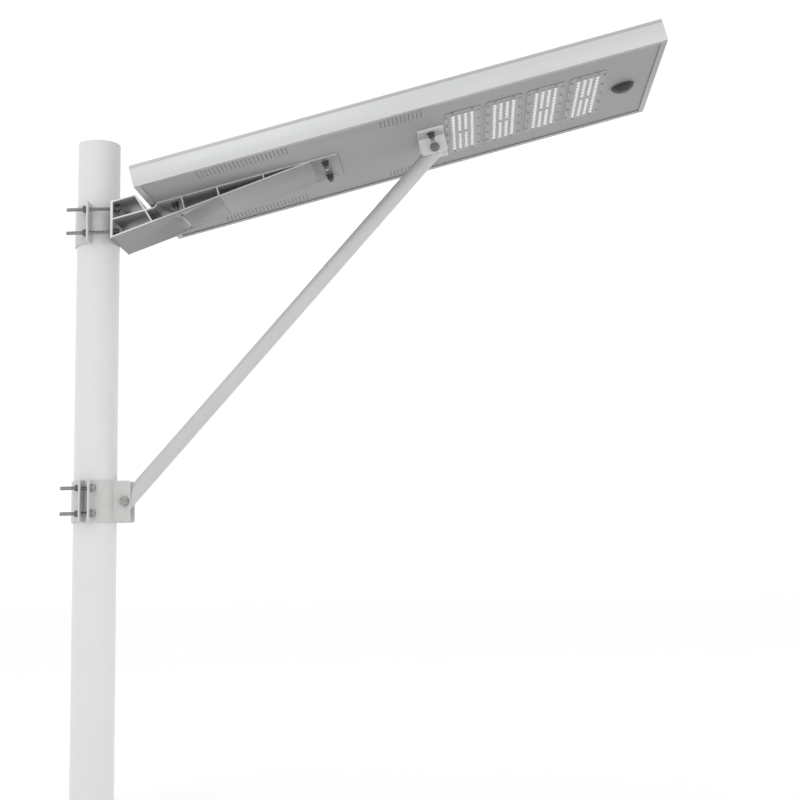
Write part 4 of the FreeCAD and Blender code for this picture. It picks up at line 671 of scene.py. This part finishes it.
# ---- Operators, one for each group of pieces -----------------------------------------------------
class BuildPole(bpy.types.Operator):
    """Coat the pole and run a weld bead round its cap"""

    bl_idname = "street_lamp.pole"
    bl_label = "Pole"

    def execute(self, context):
        coat = powder_coat("pole_coat", tuple(finishes().pole_white), roughness=0.34, dirt=0.05)
        dress("pole", coat)
        dress("pole_cap", coat)
        self.weld(coat)
        return {"FINISHED"}

    def weld(self, coat):
        """The bead swells and thins as it goes round the cap's edge."""
        low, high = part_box("pole_cap")
        radius = (high.x - low.x) / 2
        bead = sizes().weld_bead / 2
        steps = 96
        sides = 8
        swells = 24
        mesh = bmesh.new()
        rings = []
        for angle in turns(steps):
            swell = bead * (0.85 + 0.15 * math.cos(swells * angle))
            ring = []
            for turn in turns(sides):
                reach = radius + swell * math.cos(turn)
                height = high.z - bead * 0.5 + swell * math.sin(turn)
                ring.append(mesh.verts.new((reach * math.cos(angle), reach * math.sin(angle), height)))
            rings.append(ring)
        for here, there in zip(rings, rings[1:] + rings[:1]):
            bridge(mesh, here, there)
        add_piece("pole_cap_weld", mesh, (coat,), "pole")


class BuildClamps(bpy.types.Operator):
    """Round and coat the clamp halves, the arm and the strut's lug"""

    bl_idname = "street_lamp.clamps"
    bl_label = "Arm, Lug and Clamps"

    def execute(self, context):
        edge = sizes().casting_edge
        coat = powder_coat("clamp_coat", tuple(finishes().clamp_grey), roughness=0.4)
        rounded_copy("upper_rear_clamp", edge, (coat,), "upper_clamp_rear")
        rounded_copy("lower_rear_clamp", edge, (coat,), "lower_clamp_rear")
        rounded_copy("lower_front_clamp", edge, (coat,), "lamp")
        # painted shade on the lug's faces that look down
        lug = powder_coat("lug_coat", tuple(finishes().lug_grey), roughness=0.4, under=0.45)
        rounded_copy("strut_lug", edge, (lug,), "lamp")
        # painted shade on every face of the arm but its top; the walls of its hollows take their own finish
        arm = powder_coat("arm_coat", tuple(finishes().bracket_grey), roughness=0.4, under=0.26, until=0.5)
        sawn = anodised("sawn_aluminium", tuple(finishes().bare_cut), (90.0, 900.0, 900.0))
        hollow = anodised("arm_hollow", tuple(finishes().hollow_grey), (6.0, 380.0, 380.0))
        rounded_copy("arm_bracket", edge, (arm, sawn, hollow), "lamp")
        return {"FINISHED"}


class BuildStrut(bpy.types.Operator):
    """Coat the strut and finish its plugs and spacers"""

    bl_idname = "street_lamp.strut"
    bl_label = "Strut"

    def execute(self, context):
        coat = powder_coat("strut_coat", tuple(finishes().strut_grey), roughness=0.36, flecks=0.1)
        rounded_copy("strut_tube", sizes().tube_edge, (coat,), "lamp", slices=24)
        dress("strut_end_plugs", black_plastic())
        dress("pivot_spacers", moulded("natural_nylon", (0.72, 0.70, 0.64), roughness=0.45))
        return {"FINISHED"}


class BuildFasteners(bpy.types.Operator):
    """Cut real threads on the clamp bolts and finish every bolt, nut and washer"""

    bl_idname = "street_lamp.fasteners"
    bl_label = "Fasteners"

    def execute(self, context):
        metal = steel()
        pitch = sizes().thread_pitch
        depth = sizes().thread_depth
        studs = bmesh.new()
        for low, high in islands("upper_clamp_studs"):
            axis = middle((low, high))
            threaded(studs, Vector((low.x, axis.y, axis.z)), Vector((high.x, axis.y, axis.z)),
                     (high.y - low.y) / 2, pitch, depth)
        add_piece("threaded_studs", studs, (metal,), "lamp", ("upper_clamp_studs",))
        self.lower_bolts(metal, pitch, depth)
        for node in ("head_bolts", "pivot_bolts"):
            dress(node, metal)
        for node in ("head_nuts", "upper_front_nuts", "upper_rear_nuts", "lower_rear_nuts", "pivot_nuts"):
            # the nuts take the darkened steel: painted shade
            dress(node, shaded_nut_steel())
        return {"FINISHED"}

    def lower_bolts(self, metal, pitch, depth):
        """Hex bolts with washers: the CAD solids tell bolts, which are long, from washers."""
        shortest_bolt = 20 * MM
        thickest_washer = 5 * MM
        solids = islands("lower_clamp_bolts")
        bolts = [corners for corners in solids if corners[1].x - corners[0].x > shortest_bolt]
        washers = [corners for corners in solids if corners[1].x - corners[0].x < thickest_washer]
        shank = 4.0 * MM
        head_height = 5.3 * MM
        flats = 13.0 * MM
        edge = 0.3 * MM
        mesh = bmesh.new()
        for low, high in bolts:
            axis = middle((low, high))
            seat = Vector((high.x - head_height, axis.y, axis.z))
            threaded(mesh, Vector((low.x, axis.y, axis.z)), seat, shank, pitch, depth)
            hex_block(mesh, aimed(seat, (1, 0, 0)), flats, head_height)
        for low, high in washers:
            axis = middle((low, high))
            outer = (high.y - low.y) / 2
            thick = high.x - low.x
            profile = [(shank, 0), (outer - edge, 0), (outer, edge),
                       (outer, thick - edge), (outer - edge, thick), (shank, thick)]
            lathe(mesh, profile, aimed(Vector((low.x, axis.y, axis.z)), (1, 0, 0)), 32)
        add_piece("lower_clamp_hex_bolts", mesh, (metal,), "lamp", ("lower_clamp_bolts",))


class BuildHeadFrame(bpy.types.Operator):
    """Round and anodise the frame rails and coat the back plate"""

    bl_idname = "street_lamp.head_frame"
    bl_label = "Head Frame"

    def execute(self, context):
        base = tuple(finishes().anodised)
        strip = sizes().rail_strip
        # painted shade on the rails' faces that look down
        under = 0.42
        lengthways = anodised("anodised_side_rail", base, strip=strip, under=under)
        crossways = anodised("anodised_end_rail", base, (520.0, 6.0, 520.0), strip, under)
        for node in ("side_rail_left", "side_rail_right"):
            rounded_copy(node, sizes().rail_edge, (lengthways,), "lamp")
        for node in ("end_rail_inner", "end_rail_outer"):
            rounded_copy(node, sizes().rail_edge, (crossways,), "lamp")
        # painted shade: the whole back plate is coated darker than its own light silver
        plate = powder_coat("back_plate_coat", tuple(finishes().plate_shaded_grey), roughness=0.5, peel=1100.0)
        dress("back_plate", plate)
        seal = moulded("seal_silicone", (0.16, 0.16, 0.16), roughness=0.7)
        dress("back_plate_seal", seal)
        dress("panel_seal", seal)
        return {"FINISHED"}


class BuildSolarFace(bpy.types.Operator):
    """Finish the glass, cells, ribbons and backsheet"""

    bl_idname = "street_lamp.solar_face"
    bl_label = "Solar Face"

    def execute(self, context):
        glass = clear_sheet("tempered_glass", (0.98, 0.99, 0.985), (0.60, 0.63, 0.66), 0.06, 0.004)
        dress("solar_glass", glass)
        resin = clear_sheet("cured_encapsulant", (1.0, 1.0, 1.0), (0.8, 0.8, 0.8), 0.2, 0.0, 0.0)
        dress("encapsulant", resin)
        dress("solar_cells", solar_cell("mono_cells", tuple(finishes().cell_blue)))
        dress("cell_ribbons", stainless("tinned_ribbon", (0.72, 0.72, 0.73), roughness=0.3))
        dress("backsheet", moulded("white_backsheet", (0.80, 0.80, 0.79), roughness=0.5))
        return {"FINISHED"}


class BuildLedModules(bpy.types.Operator):
    """Mould the lens covers and drive the screws that hold them"""

    bl_idname = "street_lamp.led_modules"
    bl_label = "LED Modules"

    def execute(self, context):
        cover = clear_sheet("cover_polycarbonate", (0.90, 0.91, 0.91), (0.50, 0.51, 0.51), 0.18, 0.5, 0.3)
        # painted light: the lobes are pale, and they and their crowns glow faintly, for the light the lenses
        # catch
        lobes = (cover, self.lobe_finish("lens_lobes", (0.86, 0.86, 0.85), 0.03),
                 self.lobe_finish("emitter_in_lens", (0.50, 0.47, 0.42), 0.02))
        board = circuit_board("led_board_mask", (0.28, 0.28, 0.275))
        number = 1
        while "lens_cover_%d" % number in NODES:
            self.cover(number, lobes)
            dress("led_board_%d" % number, board)
            number += 1
        dress("led_chips", phosphor("led_phosphor"))
        self.screws()
        return {"FINISHED"}

    def lobe_finish(self, name, base, painted_glow):
        """Moulded lens, painted bright and glowing faintly for the light it catches; smooth, with faint flow
        marks.
        """
        graph = Graph(name, Coat_Weight=0.3, Coat_Roughness=0.08)
        place = graph.place()
        flow = graph.noise(place, 600.0, 2.0)
        graph.paint(graph.blend(flow, shade(base, 0.92), base))
        graph.feed(graph.shader.inputs["Emission Color"], graph.blend(flow, shade(base, 0.9), base))
        graph.shader.inputs["Emission Strength"].default_value = painted_glow
        graph.roughen(0.2 + (flow - 0.5) * 0.12)
        graph.emboss(flow, 0.00005, 0.4)
        return graph.material

    def cover(self, number, materials):
        """A flange with cropped corners, a raised panel and rows of two-lobed lenses."""
        node = "lens_cover_%d" % number
        low, high = head_box(node)
        centre = middle((low, high))
        lens = sizes()
        face = low.z + lens.lens_height
        flange_crop = 6.0 * MM
        panel_crop = 2.0 * MM
        panel_step = 0.7 * MM
        overlap = 0.1 * MM
        rows = lens.lens_rows
        columns = lens.lens_columns
        margin_long = 3.0 * MM
        margin_wide = 4.0 * MM
        long = rows * lens.lens_row_pitch + margin_long
        wide = columns * lens.lens_column_pitch + margin_wide
        mesh = bmesh.new()
        self.slab(mesh, centre, high.x - low.x, high.y - low.y, flange_crop, face + panel_step, high.z)
        self.slab(mesh, centre, long, wide, panel_crop, face, face + panel_step + overlap)
        for row in range(rows):
            inner = 0 < row < rows - 1
            for column in range(columns):
                step = column - (columns - 1) / 2
                if inner and step == 0:
                    continue
                at = Vector((centre.x + (row - (rows - 1) / 2) * lens.lens_row_pitch,
                             centre.y + step * lens.lens_column_pitch, face))
                for side in (-1, 1):
                    self.lobe(mesh, at + Vector((0, side * lens.lens_lobe / 2, 0)))
        add_piece("lens_moulding_%d" % number, mesh, materials, "lamp", (node,))

    def slab(self, mesh, centre, long, wide, crop, bottom, top):
        """A flat block with cropped corners and a small bevel round its lower face."""
        edge = 0.5 * MM
        rings = []
        for inset, level in ((edge, bottom), (0.0, bottom + edge), (0.0, top)):
            x = long / 2 - inset
            y = wide / 2 - inset
            plan = [(-x, crop - y), (crop - x, -y), (x - crop, -y), (x, crop - y),
                    (x, y - crop), (x - crop, y), (crop - x, y), (-x, y - crop)]
            rings.append([mesh.verts.new(HEAD @ Vector((centre.x + px, centre.y + py, level)))
                          for px, py in plan])
        skin(mesh, rings)

    def lobe(self, mesh, at):
        """One of a lens's two lobes, with the emitter showing through its crown."""
        size = sizes()
        sides = 14
        tip_share = 0.98
        rings = []
        for share in (1.0, 0.93, 0.78, 0.58, 0.36):
            drop = size.lens_height * math.sqrt(1 - share ** 2)
            ring = []
            for angle in turns(sides):
                offset = Vector((share * math.cos(angle) * size.lens_width / 2,
                                 share * math.sin(angle) * size.lens_lobe / 2, -drop))
                ring.append(mesh.verts.new(HEAD @ (at + offset)))
            rings.append(ring)
        for lower, upper in zip(rings, rings[1:]):
            for face in bridge(mesh, lower, upper):
                face.material_index = 1
        crown = rings[-1]
        tip = mesh.verts.new(HEAD @ (at - Vector((0, 0, size.lens_height * tip_share))))
        for here, after in zip(crown, crown[1:] + crown[:1]):
            mesh.faces.new((here, after, tip)).material_index = 2

    def screws(self):
        """Pan-head screws with a cross recess, one on each CAD screw, each turned its own way."""
        radius = 2.7 * MM
        rise = 1.7 * MM
        profile = [(0, 0), (radius, 0), (radius, rise * 0.35), (radius * 0.86, rise * 0.75),
                   (radius * 0.55, rise * 0.96), (0, rise)]
        pattern = bmesh.new()
        lathe(pattern, profile, Matrix.Identity(4), 20)
        head = self.carved(pattern, radius, rise)
        to_head = HEAD.inverted()
        mesh = bmesh.new()
        for corners in islands("led_screws"):
            at = to_head @ middle(corners)
            tall = (to_head.to_3x3() @ (corners[1] - corners[0])).z
            seat = at.z - tall / 2 + rise
            place = HEAD @ Matrix.Translation((at.x, at.y, seat)) @ Matrix.Rotation(math.pi, 4, "X")
            turn = at.x * 900 + at.y * 700
            copy = head.copy()
            copy.transform(place @ Matrix.Rotation(turn, 4, "Z"))
            mesh.from_mesh(copy)
            bpy.data.meshes.remove(copy)
        bpy.data.meshes.remove(head)
        add_piece("cover_screws", mesh, (steel(),), "lamp", ("led_screws",), 30.0)

    def carved(self, pattern, radius, rise):
        """Cuts a cross recess into one screw head and returns its mesh."""
        blank = bpy.data.meshes.new("screw_blank")
        pattern.to_mesh(blank)
        pattern.free()
        slot_long = radius * 1.25
        slot_wide = radius * 0.26
        slot_tall = rise * 1.1
        cross = bmesh.new()
        for turn in (0, math.pi / 2):
            bar = Matrix.Rotation(turn, 4, "Z") @ Matrix.Translation((0, 0, rise))
            scale = Matrix.Diagonal((slot_long, slot_wide, slot_tall, 1))
            bmesh.ops.create_cube(cross, size=1, matrix=bar @ scale)
        tool_mesh = bpy.data.meshes.new("screw_recess")
        cross.to_mesh(tool_mesh)
        cross.free()
        body = bpy.data.objects.new("screw_blank", blank)
        tool = bpy.data.objects.new("screw_recess", tool_mesh)
        for one in (body, tool):
            bpy.context.scene.collection.objects.link(one)
        cut = body.modifiers.new("recess", "BOOLEAN")
        cut.operation = "DIFFERENCE"
        cut.object = tool
        cut.use_self = True
        bpy.context.view_layer.update()
        carved = bpy.data.meshes.new_from_object(body.evaluated_get(bpy.context.evaluated_depsgraph_get()))
        for one in (body, tool):
            bpy.data.objects.remove(one)
        return carved


class BuildSensor(bpy.types.Operator):
    """Facet the motion sensor's dome and finish its ring"""

    bl_idname = "street_lamp.sensor"
    bl_label = "Motion Sensor"

    def execute(self, context):
        low, high = head_box("sensor_lens")
        centre = middle((low, high))
        radius = (high.y - low.y) / 2
        rim = 1.4 * MM
        edge = high.z - rim
        fullness = 0.6
        facets = sizes().dome_facets
        mesh = bmesh.new()
        rings = []
        for level, share in enumerate((1.0, 0.97, 0.84, 0.66, 0.46, 0.24)):
            drop = (edge - low.z) * (1 - share ** 2) ** fullness
            reach = radius * share
            ring = []
            for side in range(facets):
                angle = 2 * math.pi * (side + 0.5 * (level % 2)) / facets
                offset = Vector((reach * math.cos(angle), reach * math.sin(angle), 0))
                ring.append(mesh.verts.new(HEAD @ (Vector((centre.x, centre.y, edge - drop)) + offset)))
            rings.append(ring)
        for lower, upper in zip(rings, rings[1:]):
            for side in range(facets):
                after = (side + 1) % facets
                mesh.faces.new((lower[side], lower[after], upper[side]))
                mesh.faces.new((lower[after], upper[after], upper[side]))
        mesh.faces.new(rings[-1])
        dark = moulded("smoked_dome", tuple(finishes().sensor_black), roughness=0.3, texture=500.0)
        add_piece("sensor_dome", mesh, (dark,), "lamp", ("sensor_lens",), 12.0)
        dress("sensor_ring", moulded("sensor_ring_grey", (0.30, 0.30, 0.30), roughness=0.4))
        dress("sensor_housing", black_plastic())
        dress("sensor_board", green_mask())
        return {"FINISHED"}


class FinishInnerParts(bpy.types.Operator):
    """Finish what the head holds inside"""

    bl_idname = "street_lamp.inner_parts"
    bl_label = "Inner Parts"

    def execute(self, context):
        mill = anodised("mill_finish", (0.60, 0.61, 0.62))
        for node in ("junction_box", "battery_tray", "battery_lid"):
            dress(node, black_plastic())
        for node in ("battery_board", "controller_board"):
            dress(node, green_mask())
        for node in ("corner_keys", "heat_sinks", "controller_case", "controller_lid"):
            dress(node, mill)
        for node in ("arm_backing_plate", "lug_backing_plate"):
            dress(node, steel())
        dress("cell_links", stainless("nickel_strip", (0.66, 0.62, 0.54), roughness=0.35))
        dress("battery_cells", shrink_wrap("cell_sleeve", (0.02, 0.09, 0.32)))
        dress("wiring", moulded("lead_sleeve", (0.30, 0.02, 0.02), roughness=0.55))
        return {"FINISHED"}


class BuildStage(bpy.types.Operator):
    """Set up the pale floor, soft lights and camera"""

    bl_idname = "street_lamp.stage"
    bl_label = "Studio"

    def execute(self, context):
        scene = context.scene
        scene.view_settings.view_transform = "Standard"
        self.floor()
        self.sky(scene)
        self.soft_light("key", (-1.2, -3.4, 3.6), (0.55, 0, 1.2), 2.6, 14)
        self.soft_light("fill", (3.2, -2.6, 1.4), (0.6, 0, 1.2), 2.4, 4)
        self.soft_light("rim", (-1.6, 2.8, 2.8), (0.4, 0, 1.2), 2.0, 6)
        self.camera(scene)
        return {"FINISHED"}

    def floor(self):
        mesh = bmesh.new()
        bmesh.ops.create_grid(mesh, x_segments=8, y_segments=8, size=30)
        data = bpy.data.meshes.new("studio_floor")
        mesh.to_mesh(data)
        mesh.free()
        floor = bpy.data.objects.new("studio_floor", data)
        gap = 0.5 * MM
        floor.location.z = CAD_LOW.z - gap
        bpy.context.scene.collection.objects.link(floor)
        graph = Graph("pale_floor", roughness=0.9)
        grain = graph.noise(graph.place(), 3.0, 2.0)
        graph.paint(graph.blend(grain, (0.94, 0.94, 0.94), (0.96, 0.96, 0.96)))
        data.materials.append(graph.material)

    def sky(self, scene):
        world = bpy.data.worlds.new("studio_white")
        scene.world = world
        world.use_nodes = True
        background = world.node_tree.nodes["Background"]
        background.inputs["Color"].default_value = (1.0, 1.0, 1.0, 1.0)
        background.inputs["Strength"].default_value = 1.04

    def soft_light(self, name, at, toward, size, power):
        lamp = bpy.data.lights.new(name, "AREA")
        lamp.shape = "DISK"
        lamp.size = size
        lamp.energy = power
        holder = bpy.data.objects.new(name, lamp)
        holder.matrix_world = aimed(Vector(at), Vector(at) - Vector(toward))
        bpy.context.scene.collection.objects.link(holder)

    def camera(self, scene):
        """Low, almost side on, looking up at the lamp's underside."""
        lens = bpy.data.cameras.new("camera")
        lens.lens = 62.56
        lens.sensor_width = 36.0
        lens.clip_end = 100.0
        camera = bpy.data.objects.new("camera", lens)
        camera.location = (0.7889, -2.8457, 0.4644)
        right = Vector((0.9983, 0.0557, -0.0159))
        forward = Vector((-0.0532, 0.9902, 0.1294))
        up = right.cross(forward)
        turn = Matrix((right, up, -forward)).transposed()
        camera.rotation_euler = turn.to_euler()
        bpy.context.scene.collection.objects.link(camera)
        scene.camera = camera


PIECES = (BuildPole, BuildClamps, BuildStrut, BuildFasteners, BuildHeadFrame, BuildSolarFace, BuildLedModules,
          BuildSensor, FinishInnerParts, BuildStage)


class StreetLampPanel(bpy.types.Panel):
    """Lists the lamp's operators and their settings"""

    bl_idname = "VIEW3D_PT_street_lamp"
    bl_label = "Solar Street Lamp"
    bl_space_type = "VIEW_3D"
    bl_region_type = "UI"
    bl_category = "Street Lamp"

    def draw(self, context):
        for group in (context.scene.street_lamp_sizes, context.scene.street_lamp_finishes):
            column = self.layout.column()
            for name in group.__annotations__:
                column.prop(group, name)
        for piece in PIECES:
            self.layout.operator(piece.bl_idname)


CLASSES = (StreetLampSizes, StreetLampFinishes) + PIECES + (StreetLampPanel,)


def register():
    for one in CLASSES:
        bpy.utils.register_class(one)
    bpy.types.Scene.street_lamp_sizes = PointerProperty(type=StreetLampSizes)
    bpy.types.Scene.street_lamp_finishes = PointerProperty(type=StreetLampFinishes)


def unregister():
    del bpy.types.Scene.street_lamp_finishes
    del bpy.types.Scene.street_lamp_sizes
    for one in reversed(CLASSES):
        bpy.utils.unregister_class(one)


def main():
    register()
    for piece in PIECES:
        group, name = piece.bl_idname.split(".")
        getattr(getattr(bpy.ops, group), name)()


if __name__ == "__main__":
    main()
